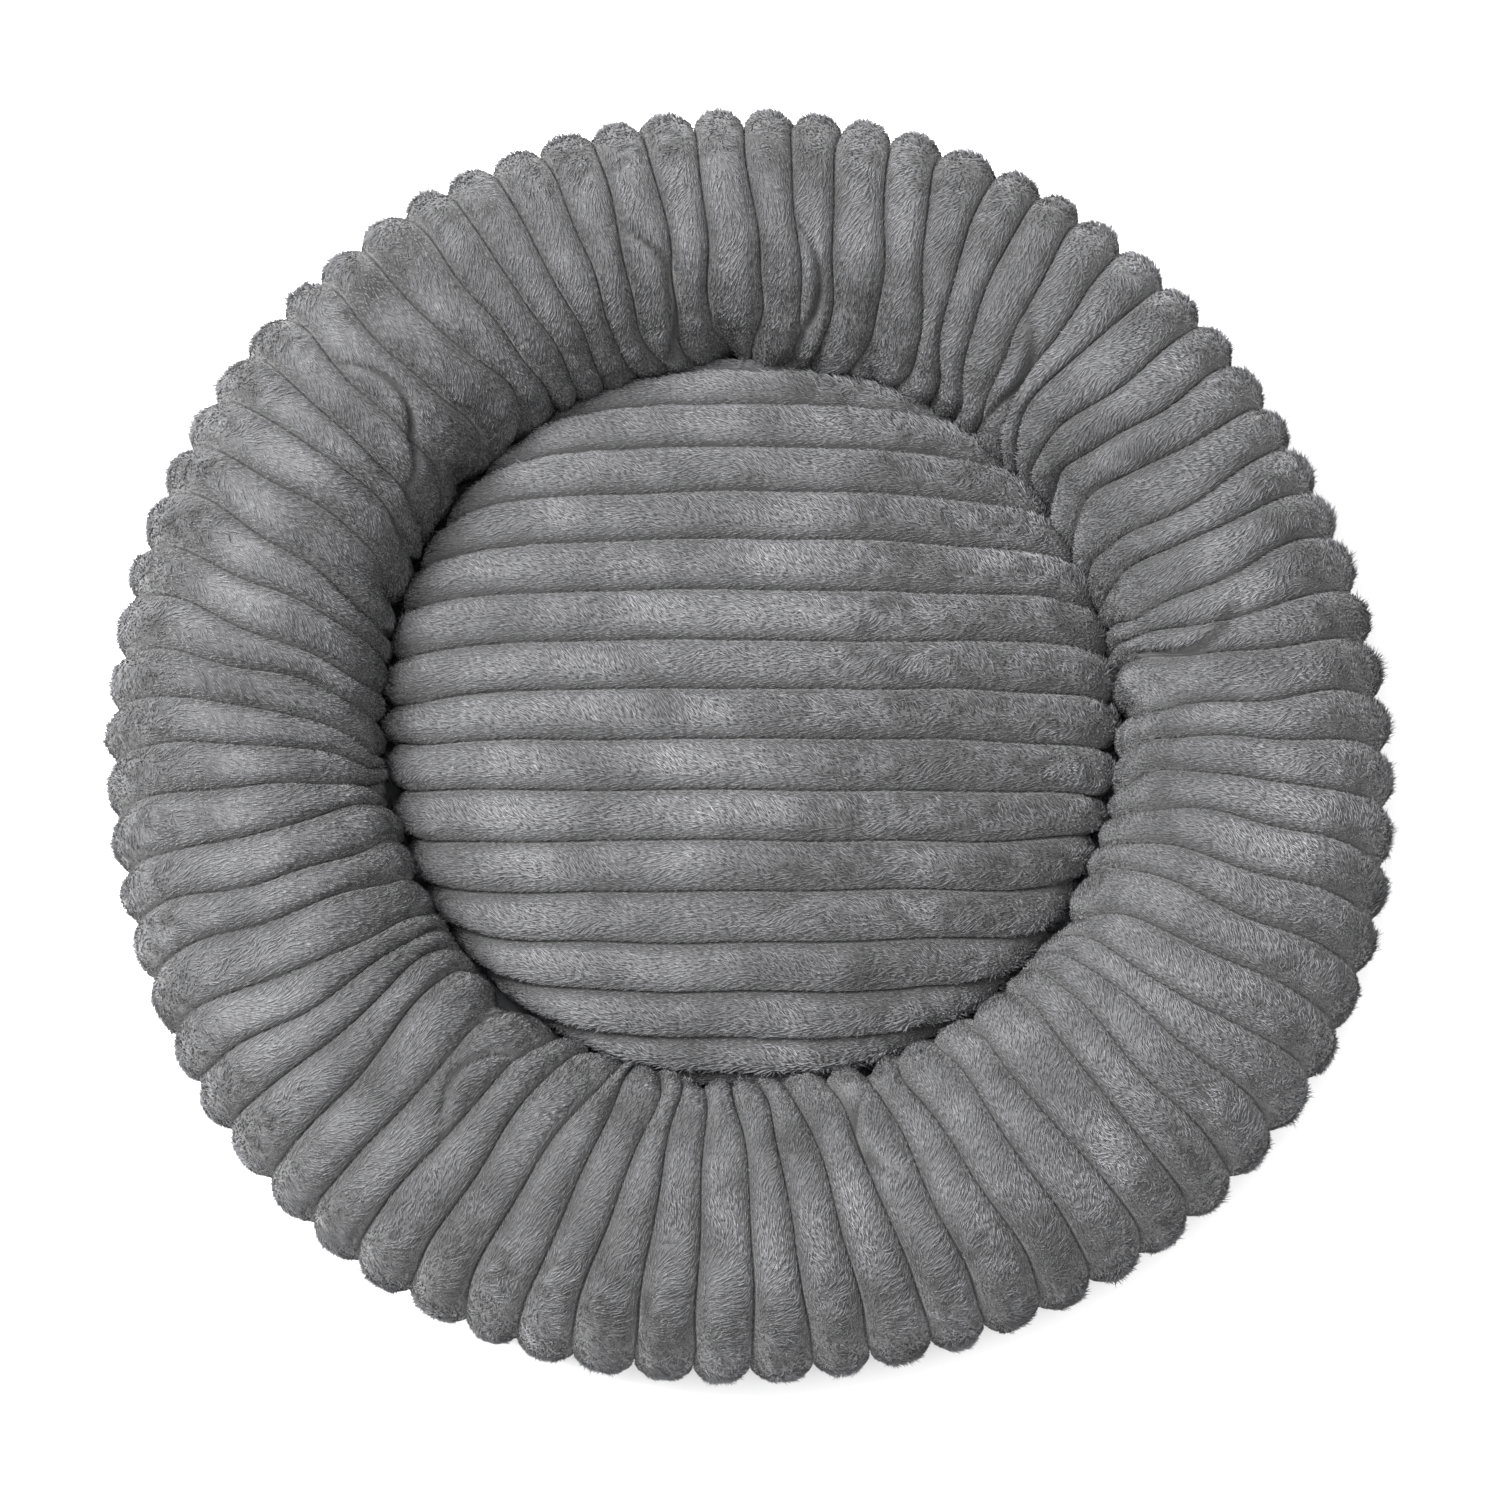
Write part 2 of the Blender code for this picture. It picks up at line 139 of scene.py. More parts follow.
# %% Helpers for shapes
def ramp(values, start, end):
    """0 before start, 1 after end, and a smooth step between them."""
    share = np.clip((values - start) / (end - start), 0, 1)
    return share * share * (3 - 2 * share)


def bumps(places, size, seed=0.0):
    """Smooth noise between about -1 and 1 at each place, with lumps of this size."""
    offset = Vector((seed, seed * 2, seed * 3))
    return np.array([noise.noise(Vector(p) / size + offset) for p in places])


# %% Helpers that make and finish a piece
def placed(name, data, body):
    """Puts a mesh into the scene as an object that rides on a body."""
    piece = bpy.data.objects.new(name, data)
    scene.collection.objects.link(piece)
    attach(piece, body)
    return piece


def new_piece(name, mesh, body):
    """Turns a bmesh into an object that rides on a body."""
    data = bpy.data.meshes.new(name)
    mesh.to_mesh(data)
    mesh.free()
    data.shade_smooth()
    return placed(name, data, body)


def repeated(name, template, seats, body):
    """Copies a small bmesh to every seat, a list of matrices, as one piece.

    An operator called once for each copy takes ever longer, so the finished shape is copied as it is.
    """
    small = bpy.data.meshes.new(name)
    template.to_mesh(small)
    template.free()
    points = np.hstack([coordinates(small), np.ones((len(small.vertices), 1))])
    faces = [tuple(face.vertices) for face in small.polygons]
    places = np.vstack([(points @ np.array(seat).T)[:, :3] for seat in seats])
    many = [tuple(v + k * len(points) for v in face) for k in range(len(seats)) for face in faces]
    data = bpy.data.meshes.new(name)
    data.from_pydata(places.tolist(), [], many)
    bpy.data.meshes.remove(small)
    return placed(name, data, body)


def evaluated(piece):
    """The piece's mesh with its modifiers applied."""
    graph = bpy.context.evaluated_depsgraph_get()
    return bpy.data.meshes.new_from_object(piece.evaluated_get(graph))


def keep_modifier(piece, kind, **settings):
    """Gives a piece one modifier and keeps its result as the piece's mesh."""
    modifier = piece.modifiers.new(kind, kind)
    for name, value in settings.items():
        setattr(modifier, name, value)
    changed = evaluated(piece)
    piece.modifiers.remove(modifier)
    piece.data = changed


def refine(piece, levels):
    """Subdivides a piece smoothly. Its attributes are carried along."""
    keep_modifier(piece, "SUBSURF", levels=levels, render_levels=levels)
    piece.data.shade_smooth()


# %% [markdown]
# ## Camera, light and floor
# The camera looks down from almost straight above, a little from the front. The light is a large
# soft box to the left with a wide overhead fill, over a plain white floor.

# %% Stage
CAMERA_ELEVATION = math.radians(81)
CAMERA_DISTANCE = 1.90
FRAME_WIDTH = 0.697  # of what the camera sees at the bed

look_at = Vector((0, -4 * MM, 78 * MM))
camera_data = bpy.data.cameras.new("camera")
camera_data.sensor_width = 36
camera_data.lens = 36 * CAMERA_DISTANCE / FRAME_WIDTH
camera = bpy.data.objects.new("camera", camera_data)
camera.location = look_at + CAMERA_DISTANCE * Vector(
    (0, -math.cos(CAMERA_ELEVATION), math.sin(CAMERA_ELEVATION))
)
camera.rotation_euler = (math.pi / 2 - CAMERA_ELEVATION, 0, 0)
scene.collection.objects.link(camera)
scene.camera = camera


def area_light(name, place, size, watts):
    data = bpy.data.lights.new(name, "AREA")
    data.shape = "DISK"
    data.size = size
    data.energy = watts
    light = bpy.data.objects.new(name, data)
    light.location = place
    light.rotation_euler = (look_at - light.location).to_track_quat("-Z", "Y").to_euler()
    scene.collection.objects.link(light)


area_light("key", Vector((-0.8, 0.3, 1.75)), 0.9, 120)
area_light("overhead", Vector((0.1, -0.3, 2.2)), 1.6, 58)

world = bpy.data.worlds.new("studio")
world.use_nodes = True
world.node_tree.nodes["Background"].inputs["Color"].default_value = (1, 1, 1, 1)
world.node_tree.nodes["Background"].inputs["Strength"].default_value = 0.42
scene.world = world
scene.view_settings.view_transform = "Standard"

floor_mesh = bmesh.new()
bmesh.ops.create_grid(floor_mesh, x_segments=1, y_segments=1, size=6)
floor_data = bpy.data.meshes.new("floor")
floor_mesh.to_mesh(floor_data)
floor_mesh.free()
floor = bpy.data.objects.new("floor", floor_data)
scene.collection.objects.link(floor)
paint = bpy.data.materials.new("white studio paint")
paint.use_nodes = True
paint.node_tree.nodes["Principled BSDF"].inputs["Base Color"].default_value = linear("FFFFFF")
paint.node_tree.nodes["Principled BSDF"].inputs["Roughness"].default_value = 0.9
floor_data.materials.append(paint)
print("camera lens: %.0f mm" % camera_data.lens)

# %% [markdown]
# ## Stuffing a bag
# A stuffed bag isn't a clean geometric ring: the fibre lies fuller in some places than others. The
# bag is therefore blown up as cloth, with its sewn edges held, and with a pressure that varies from
# place to place. It starts a little smaller than the finished piece, and no point may move further
# than a few millimetres.

# %% Blow up a bag
STUFFING_FRAMES = 20


def inflate(piece, pressure, most):
    """Runs the piece as a cloth bag under pressure and keeps the result."""
    start = coordinates(piece.data)
    cloth = piece.modifiers.new("Stuffing", "CLOTH")
    settings = cloth.settings
    settings.quality = 5
    settings.mass = 0.25
    settings.tension_stiffness = settings.compression_stiffness = 12
    settings.bending_stiffness = 0.6
    settings.use_pressure = True
    settings.uniform_pressure_force = pressure
    settings.vertex_group_mass = "sewn"
    settings.vertex_group_pressure = "stuffing"
    settings.effector_weights.gravity = 0
    cloth.point_cache.frame_start = 1
    cloth.point_cache.frame_end = STUFFING_FRAMES
    for number in range(1, STUFFING_FRAMES + 1):
        scene.frame_set(number)
    swollen = evaluated(piece)
    move = coordinates(swollen) - start
    piece.modifiers.remove(cloth)
    bpy.data.meshes.remove(swollen)
    scene.frame_set(1)
    length = np.linalg.norm(move, axis=1, keepdims=True)
    move *= np.minimum(1, most / np.maximum(length, 1e-9))
    move_to(piece.data, start + move)
    print("%s swelled by up to %.1f mm" % (piece.name, 1000 * min(length.max(), most)))


def weigh(piece, name, weights):
    """A vertex group whose weights are given for every vertex."""
    group = piece.vertex_groups.new(name=name)
    for index, weight in enumerate(weights):
        group.add([index], float(weight), "REPLACE")


# %% [markdown]
# ## The stuffed ring
# The ring's section is a rounded oval that stands on a flat foot. It is spun round the bed's axis,
# and what lies inside the crest moves towards the rear with the opening. The outline of a
# hand-stuffed ring is also a little uneven, which a few broad lobes give. Every vertex keeps its
# place on the clean ring in an attribute called cut, because the ribs are woven into the cloth and
# so follow the cloth, not the finished shape.

# %% Outline of the ring
PILE = 2.0 * MM  # from the backing cloth to the tips of the hairs
CUSHION_PILE = -5.0 * MM  # the cushion is pressed into its place and stands proud of it
STUFFING_ALLOWANCE = 3.0 * MM  # how much smaller the bag starts
ZIP_LIP = 6.5 * MM  # half the opening that the zip lies in
ZIP_ARC = (math.radians(45.6), math.radians(131.4))
RIBS = 72
RIB_COLUMNS = (0, 0.146, 0.5, 0.854)  # places across a rib where the cloth has lines of points
REFINEMENTS = 2  # each halves every face
# Fuller places of the outline: waves round the ring, their height, and where one crests, in degrees.
LOBES = ((1, 3.0 * MM, -130), (2, 2.0 * MM, -43), (3, 3.8 * MM, -23), (4, 2.4 * MM, -33))
INNER_LOBES = ((143, 5 * MM), (229, 2 * MM), (322, 2 * MM))  # where the opening is wider, and how much
INNER_LOBE_WIDTH = math.radians(20)


def oval(turn, half_width, half_height):
    across = math.copysign(abs(math.cos(turn)) ** (2 / ROUNDNESS), math.cos(turn))
    up = math.copysign(abs(math.sin(turn)) ** (2 / ROUNDNESS), math.sin(turn))
    return half_width * across, half_height * up


def ring_place(turn, inset):
    reach = ring_high.z - BELLY if 0 < turn < math.pi else UNDERSIDE_REACH
    across, up = oval(turn, RING_HALF_WIDTH - inset, reach - inset)
    return CREST_RADIUS + across, BELLY + up


def outer_turn(height, inset):
    """The turn at which the outer side of the ring has this height."""
    return -math.asin(((BELLY - height) / (UNDERSIDE_REACH - inset)) ** (ROUNDNESS / 2))


def ring_section(inset, foot, arch_steps):
    """Heel, the zip's two lips, the arch down to the inner foot, and the flat underside."""
    low = outer_turn(foot, inset)
    lips = [outer_turn(ZIP_HEIGHT + side * ZIP_LIP, inset) for side in (-1, 1)]
    end = math.pi - low
    turns = [low, *lips] + [lips[1] + (end - lips[1]) * i / arch_steps for i in range(1, arch_steps + 1)]
    section = [ring_place(turn, inset) for turn in turns]
    under = 3
    first, last = section[0][0], section[-1][0]
    return section + [(last + (first - last) * i / under, foot) for i in range(1, under)]


def over_the_ring(places):
    """Where each place of the clean ring lies on its section: 0 on the crest, positive inside."""
    return np.arctan2(CREST_RADIUS - np.hypot(places[:, 0], places[:, 1]), places[:, 2] - BELLY)


# %% [markdown]
# ## Where the ribs run
# The plush is woven with wide ribs that run across the ring, over its crest. Outside they are nearly
# even. Inside, the same cloth has to fit a circle little more than half as long, so the ribs are
# gathered there: some are squeezed narrow, some stay wide, and some grooves close up where two ribs
# are pushed together. The edges of the ribs are laid out as angles at the outside and at the inside,
# and every edge runs from one to the other with a wobble. The columns of the mesh follow these
# edges, so that each groove is one clean line of points.

# %% Rib edges round the ring
RIB_DROOP = 0.040  # how far, in radians, the ribs lie towards the rear at the outer edge
RIB_DROOP_INSIDE = 0.10  # and towards the front at the inner edge
TUCKS = 11
TUCK_REACH = 0.13  # radians to each side
TUCK_PULL = 0.45
CLOSED_GROOVES = 0.22  # share of the grooves that close up towards the inside
# How far the rib edges sway, in radians: all together, each on its own, and in short waves.
SHARED_SWAY, OWN_SWAY, FINE_SWAY = 0.030, 0.014, 0.0050
rng = np.random.default_rng(11)


def edges_of(widths, lean):
    """Angles of the rib edges for these widths, leaning towards the front or the rear."""
    edges = np.concatenate([[0], np.cumsum(widths)]) / widths.sum() * 2 * math.pi
    return edges - lean * np.cos(edges)


def angle_between(angles, middle):
    """How far each angle lies from the middle, the shorter way round."""
    return (angles - middle + math.pi) % (2 * math.pi) - math.pi


outer_edges = edges_of(1 + 0.07 * rng.uniform(-1, 1, RIBS), RIB_DROOP)
inner_edges = edges_of(1 + 0.40 * rng.uniform(-1, 1, RIBS), -RIB_DROOP_INSIDE)
tuck_angles = (np.arange(TUCKS) + rng.uniform(-0.35, 0.35, TUCKS)) / TUCKS * 2 * math.pi
for angle in tuck_angles:
    away = angle_between(inner_edges, angle)
    inner_edges -= TUCK_PULL * away * np.exp(-((away / TUCK_REACH) ** 2))
closing = np.where(rng.random(RIBS) < CLOSED_GROOVES, rng.uniform(0.4, 0.9, RIBS), rng.uniform(0, 0.1, RIBS))
wobbles = rng.uniform(-math.pi, math.pi, (RIBS, 3))
plump = rng.uniform(0.85, 1.2, RIBS)
print("ribs at the inside are %.0f to %.0f mm wide" % tuple(
    f(np.diff(inner_edges)) * OPENING_RADIUS / MM for f in (np.min, np.max)
))


def rib_edge(number, over, inside):
    """The angle of each numbered rib edge at a place on the section."""
    turns, k = np.divmod(number, RIBS)
    straight = outer_edges[k] * (1 - inside) + inner_edges[k] * inside
    shared = SHARED_SWAY * np.sin(1.7 * over + 0.45 * k) * inside
    own = OWN_SWAY * np.sin(2.3 * over + wobbles[k, 0]) * (0.3 + inside)
    fine = FINE_SWAY * np.sin(8 * over + wobbles[k, 1]) * (0.4 + inside)
    return straight + shared + own + fine + turns * 2 * math.pi


def rib_count(places):
    """The place round the ring counted in ribs: whole numbers are grooves."""
    return np.arctan2(places[:, 1], places[:, 0]) / (2 * math.pi) * RIBS + RIBS / 2


# %% Spread the stuffing and spin the ring
def lobes(around):
    """How far the ring's outline stands out at each angle."""
    return sum(size * np.cos(n * (around - math.radians(to))) for n, size, to in LOBES)


def uneven(places):
    """Spreads the stuffing: a few broad lobes outside, and the opening moved towards the rear."""
    radius = np.hypot(places[:, 0], places[:, 1])
    around = np.arctan2(places[:, 1], places[:, 0])
    outward = np.clip((radius - OPENING_RADIUS) / (BED_RADIUS - OPENING_RADIUS), 0, 1)
    inward = np.clip((CREST_RADIUS - radius) / (CREST_RADIUS - OPENING_RADIUS), 0, 1)
    corner = sum(
        size * np.exp(-((angle_between(around, math.radians(to)) / INNER_LOBE_WIDTH) ** 2))
        for to, size in INNER_LOBES
    )
    moved = places.copy()
    moved[:, :2] *= (1 + (outward * lobes(around) + inward * (corner - CUSHION_SLACK)) / radius)[:, None]
    moved[:, 1] += OPENING_SHIFT * inward
    return moved


def spun_ring(inset, foot, columns, arch_steps):
    """The clean ring as a bmesh, its middle on the axis."""
    mesh = bmesh.new()
    points = [mesh.verts.new((radius, 0, height)) for radius, height in ring_section(inset, foot, arch_steps)]
    edges = [mesh.edges.new(pair) for pair in zip(points, points[1:] + points[:1])]
    bmesh.ops.rotate(mesh, verts=points, cent=(0, 0, 0), matrix=Matrix.Rotation(-math.pi, 3, "Z"))
    bmesh.ops.spin(
        mesh, geom=points + edges, axis=(0, 0, 1), cent=(0, 0, 0),
        angle=2 * math.pi, steps=columns, use_merge=True,
    )
    bmesh.ops.remove_doubles(mesh, verts=mesh.verts, dist=1e-6)
    bmesh.ops.recalc_face_normals(mesh, faces=mesh.faces)
    return mesh


# %% Lay the columns along the ribs
def close_to_grooves(places):
    """Turns evenly spaced columns about the axis to where a rib has its lines of points."""
    count = rib_count(places) + 1e-6
    number = np.floor(count)
    steps = np.arange(len(RIB_COLUMNS) + 1) / len(RIB_COLUMNS)
    warped = number + np.interp(count - number, steps, (*RIB_COLUMNS, 1))
    angle = (warped - RIBS / 2) / RIBS * 2 * math.pi
    radius = np.hypot(places[:, 0], places[:, 1])
    return np.stack([radius * np.cos(angle), radius * np.sin(angle), places[:, 2]], 1)


def along_the_ribs(places):
    """Turns each place about the axis, from evenly spaced columns to the run of the ribs."""
    over = over_the_ring(places)
    inside = ramp(over, math.radians(-35), math.radians(80))
    count = rib_count(places) + 1e-6
    number = np.floor(count).astype(int)
    low, high = rib_edge(number, over, inside), rib_edge(number + 1, over, inside)
    angle = low + (high - low) * (count - number) - math.pi
    radius = np.hypot(places[:, 0], places[:, 1])
    return np.stack([radius * np.cos(angle), radius * np.sin(angle), places[:, 2]], 1)


# %% Blow up the ring
RING_PRESSURE, RING_SWELL = 2.2, 7 * MM
ring_foot = ring_low.z
ring = new_piece(
    "ring_plush", spun_ring(PILE + STUFFING_ALLOWANCE, ring_foot, RIBS * len(RIB_COLUMNS), 20), "bed"
)
clean = close_to_grooves(coordinates(ring.data))
write(ring.data, "cut", clean)
move_to(ring.data, uneven(along_the_ribs(clean)))
weigh(ring, "sewn", clean[:, 2] < ring_foot + 1 * MM)
weigh(ring, "stuffing", np.clip(0.75 + 0.5 * bumps(clean, 90 * MM, 3), 0.3, 1))
inflate(ring, RING_PRESSURE, RING_SWELL)
refine(ring, REFINEMENTS)

# %% [markdown]
# ## Press the ribs in
# A rib is full and nearly flat on top, and falls steeply into a narrow groove on each side. Where a
# groove closes towards the inside it only stays as a shallow dip. At the tucks the whole wall is
# drawn in a little. In a few places the cloth lies in a fold, a narrow valley with a raised lip. The
# grooves are pressed flat where the zip is sewn in, so that its tapes lie close to the plush.

# %% Shapes of the ribs and folds
RIB_RISE = 0.34  # height of a rib as a share of its width
RIB_RISE_MOST = 8.6 * MM
RIB_FLATNESS, RIB_STEEPNESS = 2.4, 0.55
TUCK_DEPTH = 5 * MM
TUCK_WIDTH = 0.035  # radians to each side
FOLD_DEPTH = 3.8 * MM
FOLD_WIDTH = 2.2 * MM
FOLD_BEND = 1.2  # how much a fold curves along its length
LIP_AWAY, LIP_WIDTH = 2.6, 2  # of a fold's lip, in widths of its valley
# Where the cloth is folded: angle and radius of the middle, how far it turns from the rib, length.
FOLDS = (
    (100, 205 * MM, 7, 62 * MM), (81, 198 * MM, -8, 50 * MM), (137, 215 * MM, -14, 60 * MM),
    (231, 203 * MM, -6, 56 * MM), (284, 195 * MM, 5, 48 * MM),
    (9, 205 * MM, 13, 50 * MM), (52, 205 * MM, 12, 52 * MM),
)


def folded(places, facing_up):
    """How deep each place lies in a fold, and how far its upper lip stands up."""
    valley, lip = np.zeros(len(places)), np.zeros(len(places))
    for angle, radius, turn, length in FOLDS:
        middle = radius * np.array([math.cos(math.radians(angle)), math.sin(math.radians(angle))])
        way = np.array([math.cos(math.radians(angle + turn)), math.sin(math.radians(angle + turn))])
        offset = places[:, :2] - middle
        along = offset @ way
        across = offset @ np.array([-way[1], way[0]]) - FOLD_BEND / length * along ** 2
        near = np.exp(-((2 * along / length) ** 4)) * facing_up
        valley = np.maximum(valley, near * np.exp(-((across / FOLD_WIDTH) ** 2)))
        beside = (across - LIP_AWAY * FOLD_WIDTH) / (LIP_WIDTH * FOLD_WIDTH)
        lip = np.maximum(lip, near * np.exp(-(beside ** 2)))
    return valley, lip


def rib_profile(across):
    """0 in the grooves and 1 along the middle of a rib; across runs from 0 to 1."""
    return np.maximum(0, 1 - np.abs(2 * across - 1) ** RIB_FLATNESS) ** RIB_STEEPNESS


def from_zip_middle(cut):
    """The angle between each place of the clean ring and the middle of the zip."""
    return np.abs(angle_between(np.arctan2(cut[:, 1], cut[:, 0]), sum(ZIP_ARC) / 2))


# %% Raise the ribs of the ring
ZIP_HALF_ARC = (ZIP_ARC[1] - ZIP_ARC[0]) / 2
SEWN_FROM, SEWN_TO = 9 * MM, 17 * MM  # above and below the zip's lips, where the grooves deepen again
SEWN_ARC_FROM, SEWN_ARC_TO = 0.01, 0.06  # the same beyond the zip's ends, in radians
PRESSED_FLAT = 0.85
cut = read(ring.data, "cut", 3)
places, out = coordinates(ring.data), normals(ring.data)
over = over_the_ring(cut)
around = np.arctan2(places[:, 1], places[:, 0])
count = rib_count(cut)
number = np.floor(count + 1e-3).astype(int)
across = np.clip(count - number, 0, 1)
inward = ramp(over, math.radians(20), math.radians(75))
nearest = np.where(across < 0.5, closing[number % RIBS], closing[(number + 1) % RIBS])
share = 1 - (1 - rib_profile(across)) * (1 - 0.7 * nearest * inward)
width = 2 * math.pi / RIBS * np.hypot(places[:, 0], places[:, 1])
fullness = 1 + (plump[number % RIBS] - 1) * (0.3 + 0.7 * inward)
height = np.minimum(RIB_RISE * width, RIB_RISE_MOST) * fullness
foot = 0.35 + 0.65 * ramp(cut[:, 2], ring_foot, ring_foot + 30 * MM)
dent = sum(np.exp(-((angle_between(around, angle) / TUCK_WIDTH) ** 2)) for angle in tuck_angles)
dent = np.minimum(dent, 1) * ramp(over, math.radians(25), math.radians(85))
lumps = 1.2 * MM * bumps(places, 15 * MM, 5) + 0.5 * MM * bumps(places, 7 * MM, 6)
shift = (height * share - 0.8 * height) * foot - TUCK_DEPTH * dent + lumps * share
valley, lip = folded(places, ramp(over, math.radians(-75), math.radians(-55)) * ramp(over, 1.5, 1.2))
shift += FOLD_DEPTH * (0.5 * lip - valley)
# a fold's valley counts as a groove: fewer, shorter hairs, and the painted shade of a groove
share = share * (1 - 0.9 * valley)
seam = ramp(np.abs(cut[:, 2] - ZIP_HEIGHT), ZIP_LIP + SEWN_TO, ZIP_LIP + SEWN_FROM) * (over < 0)
seam *= ramp(from_zip_middle(cut), ZIP_HALF_ARC + SEWN_ARC_TO, ZIP_HALF_ARC + SEWN_ARC_FROM)
shift += PRESSED_FLAT * seam * height * (1 - share) * foot
shift *= ramp(np.abs(over), math.radians(168), math.radians(150))
move_to(ring.data, places + out * shift[:, None])
# share also sets painted shade: the knitted back and the pile are coloured darker where it is low
write(ring.data, "share", share)
print("ring plush:", len(ring.data.polygons), "faces")

# %% [markdown]
# ## The cushion
# The loose cushion is two round cloths sewn together under its rim: rib plush above, plain cloth
# below. Its top is domed and its edge presses against the ring. The plush is cut flat, so a place
# on it is known by its distance from the middle along the cloth, and the ribs lie straight in that
# flat cut from left to right.

# %% Outline of the cushion
CROWN = cushion_high.z
RIM = 52 * MM  # height of the cushion's widest place
CUSHION_REACH = 60 * MM  # how far down its lower oval would go if the flat foot didn't cut it
CUSHION_ROUNDNESS = 2.8
CUSHION_SEAM = (cushion_low.z + underside_high.z) / 2
CUSHION_FOOT = underside_low.z
CUSHION_RIB = 23.2 * MM
RIB_PHASE = 0.28  # of a rib, between the middle of the cushion and the next groove
SIDE_COLUMNS = 36
TOP, UNDER = 0, 1  # material slots of the bag, one for each cloth


def cushion_turn(height, inset):
    return -math.asin(((RIM - height) / (CUSHION_REACH - inset)) ** (CUSHION_ROUNDNESS / 2))


def cushion_path(inset, first, last):
    """Radius and height along the outline between two turns, and the distance along the cloth."""
    turns = np.linspace(first, last, 240)
    reach = np.where(turns > 0, CROWN - RIM, CUSHION_REACH) - inset
    radius = (CUSHION_RADIUS - inset) * np.abs(np.cos(turns)) ** (2 / CUSHION_ROUNDNESS)
    height = RIM + reach * np.sign(turns) * np.abs(np.sin(turns)) ** (2 / CUSHION_ROUNDNESS)
    return radius, height, lengths(radius, height)


def lengths(radius, height):
    return np.concatenate([[0], np.cumsum(np.hypot(np.diff(radius), np.diff(height)))])


def cut_radius(inset):
    return cushion_path(inset, math.pi / 2, cushion_turn(CUSHION_SEAM, inset))[2][-1]


# %% Two flat cuts sewn together
GATHER_FROM, GATHER_TO = 110 * MM, 190 * MM  # from the middle, where the cloth is gathered at the sides


def gathered(flat):
    """0 over most of the cushion, and 1 where its left and right sides are gathered."""
    return ramp(np.abs(flat[:, 0]), GATHER_FROM, GATHER_TO)


def flat_rows(reach):
    """Rows of the flat cut: columns of a rib close to its grooves, and close rows at both ends."""
    ends = [reach * math.cos(math.radians(angle)) for angle in (0, 4, 8, 12)]
    numbers = range(-40, 40)
    inner = [(n + RIB_PHASE + share) * CUSHION_RIB for n in numbers for share in RIB_COLUMNS]
    inner = [y for y in inner if abs(y) < ends[-1] - 1.5 * MM]
    return sorted([-y for y in ends] + inner + ends)


def round_bag(inset):
    """Two flat round cuts sewn together round their edge, as a bmesh. Their attribute is cut."""
    reach = cut_radius(0)
    rows = flat_rows(reach)
    mesh = bmesh.new()
    cut = mesh.verts.layers.float_vector.new("cut")
    for side in (TOP, UNDER):
        made = bmesh.ops.create_grid(mesh, x_segments=SIDE_COLUMNS, y_segments=len(rows) - 1, size=1)["verts"]
        for vertex in made:
            y = rows[round((vertex.co.y + 1) / 2 * (len(rows) - 1))]
            x = vertex.co.x * math.sqrt(max(0.0, reach ** 2 - y ** 2))
            edge = math.hypot(x, y) > reach - 1e-6
            vertex.co = (x, y, 0)
            vertex[cut] = (x, y, 0 if edge else 1 - 2 * side)
        for face in {face for vertex in made for face in vertex.link_faces}:
            face.material_index = side
    rim = [vertex for vertex in mesh.verts if vertex[cut].z == 0]
    bmesh.ops.remove_doubles(mesh, verts=rim, dist=1e-6)
    bmesh.ops.dissolve_degenerate(mesh, edges=mesh.edges, dist=1e-7)
    flat = np.array([vertex[cut] for vertex in mesh.verts])
    for vertex, place in zip(mesh.verts, on_the_bag(flat, inset)):
        vertex.co = place
    bmesh.ops.recalc_face_normals(mesh, faces=mesh.faces)
    return mesh


def on_the_bag(flat, inset):
    """Where places of the flat cuts lie on the finished bag."""
    reach = cut_radius(0)
    distance = np.hypot(flat[:, 0], flat[:, 1])
    gather = gathered(flat)
    ground = flat * [1, 1, 0]
    sway = (0.10 + 0.22 * gather) * bumps(ground, 60 * MM, 2) + 0.10 * gather * bumps(ground, 18 * MM, 9)
    moved = ground - np.outer(sway * CUSHION_RIB * ramp(reach - distance, 0, 25 * MM), [0, 1, 0])
    around = np.arctan2(moved[:, 1], moved[:, 0])
    distance = np.minimum(np.hypot(moved[:, 0], moved[:, 1]) / reach, 1)
    seam, foot = cushion_turn(CUSHION_SEAM, inset), cushion_turn(CUSHION_FOOT, inset)
    radius, height, along = cushion_path(inset, math.pi / 2, seam)
    low_radius, low_height, _ = cushion_path(inset, seam, foot)
    low_radius, low_height = np.append(low_radius, 0), np.append(low_height, CUSHION_FOOT)
    low_along = lengths(low_radius, low_height)
    on_top = distance * along[-1]
    below = (1 - distance) * low_along[-1]
    top = flat[:, 2] >= 0
    out = np.where(top, np.interp(on_top, along, radius), np.interp(below, low_along, low_radius))
    up = np.where(top, np.interp(on_top, along, height), np.interp(below, low_along, low_height))
    return np.stack([out * np.cos(around), out * np.sin(around) + OPENING_SHIFT, up], 1)


# %% Blow up the cushion
CUSHION_PRESSURE, CUSHION_SWELL = 2.0, 8 * MM
print("the cushion's plush is cut %.0f mm across" % (2 * cut_radius(0) / MM))
bag = new_piece("cushion_bag", round_bag(CUSHION_PILE + STUFFING_ALLOWANCE), "seat_cushion")
clean = coordinates(bag.data)
weigh(bag, "sewn", clean[:, 2] < CUSHION_FOOT + 1 * MM)
weigh(bag, "stuffing", np.clip(0.75 + 0.6 * bumps(clean, 70 * MM, 8), 0.2, 1))
inflate(bag, CUSHION_PRESSURE, CUSHION_SWELL)
for cloth in ("top", "under"):
    bag.data.materials.append(bpy.data.materials.new(cloth))
refine(bag, REFINEMENTS)

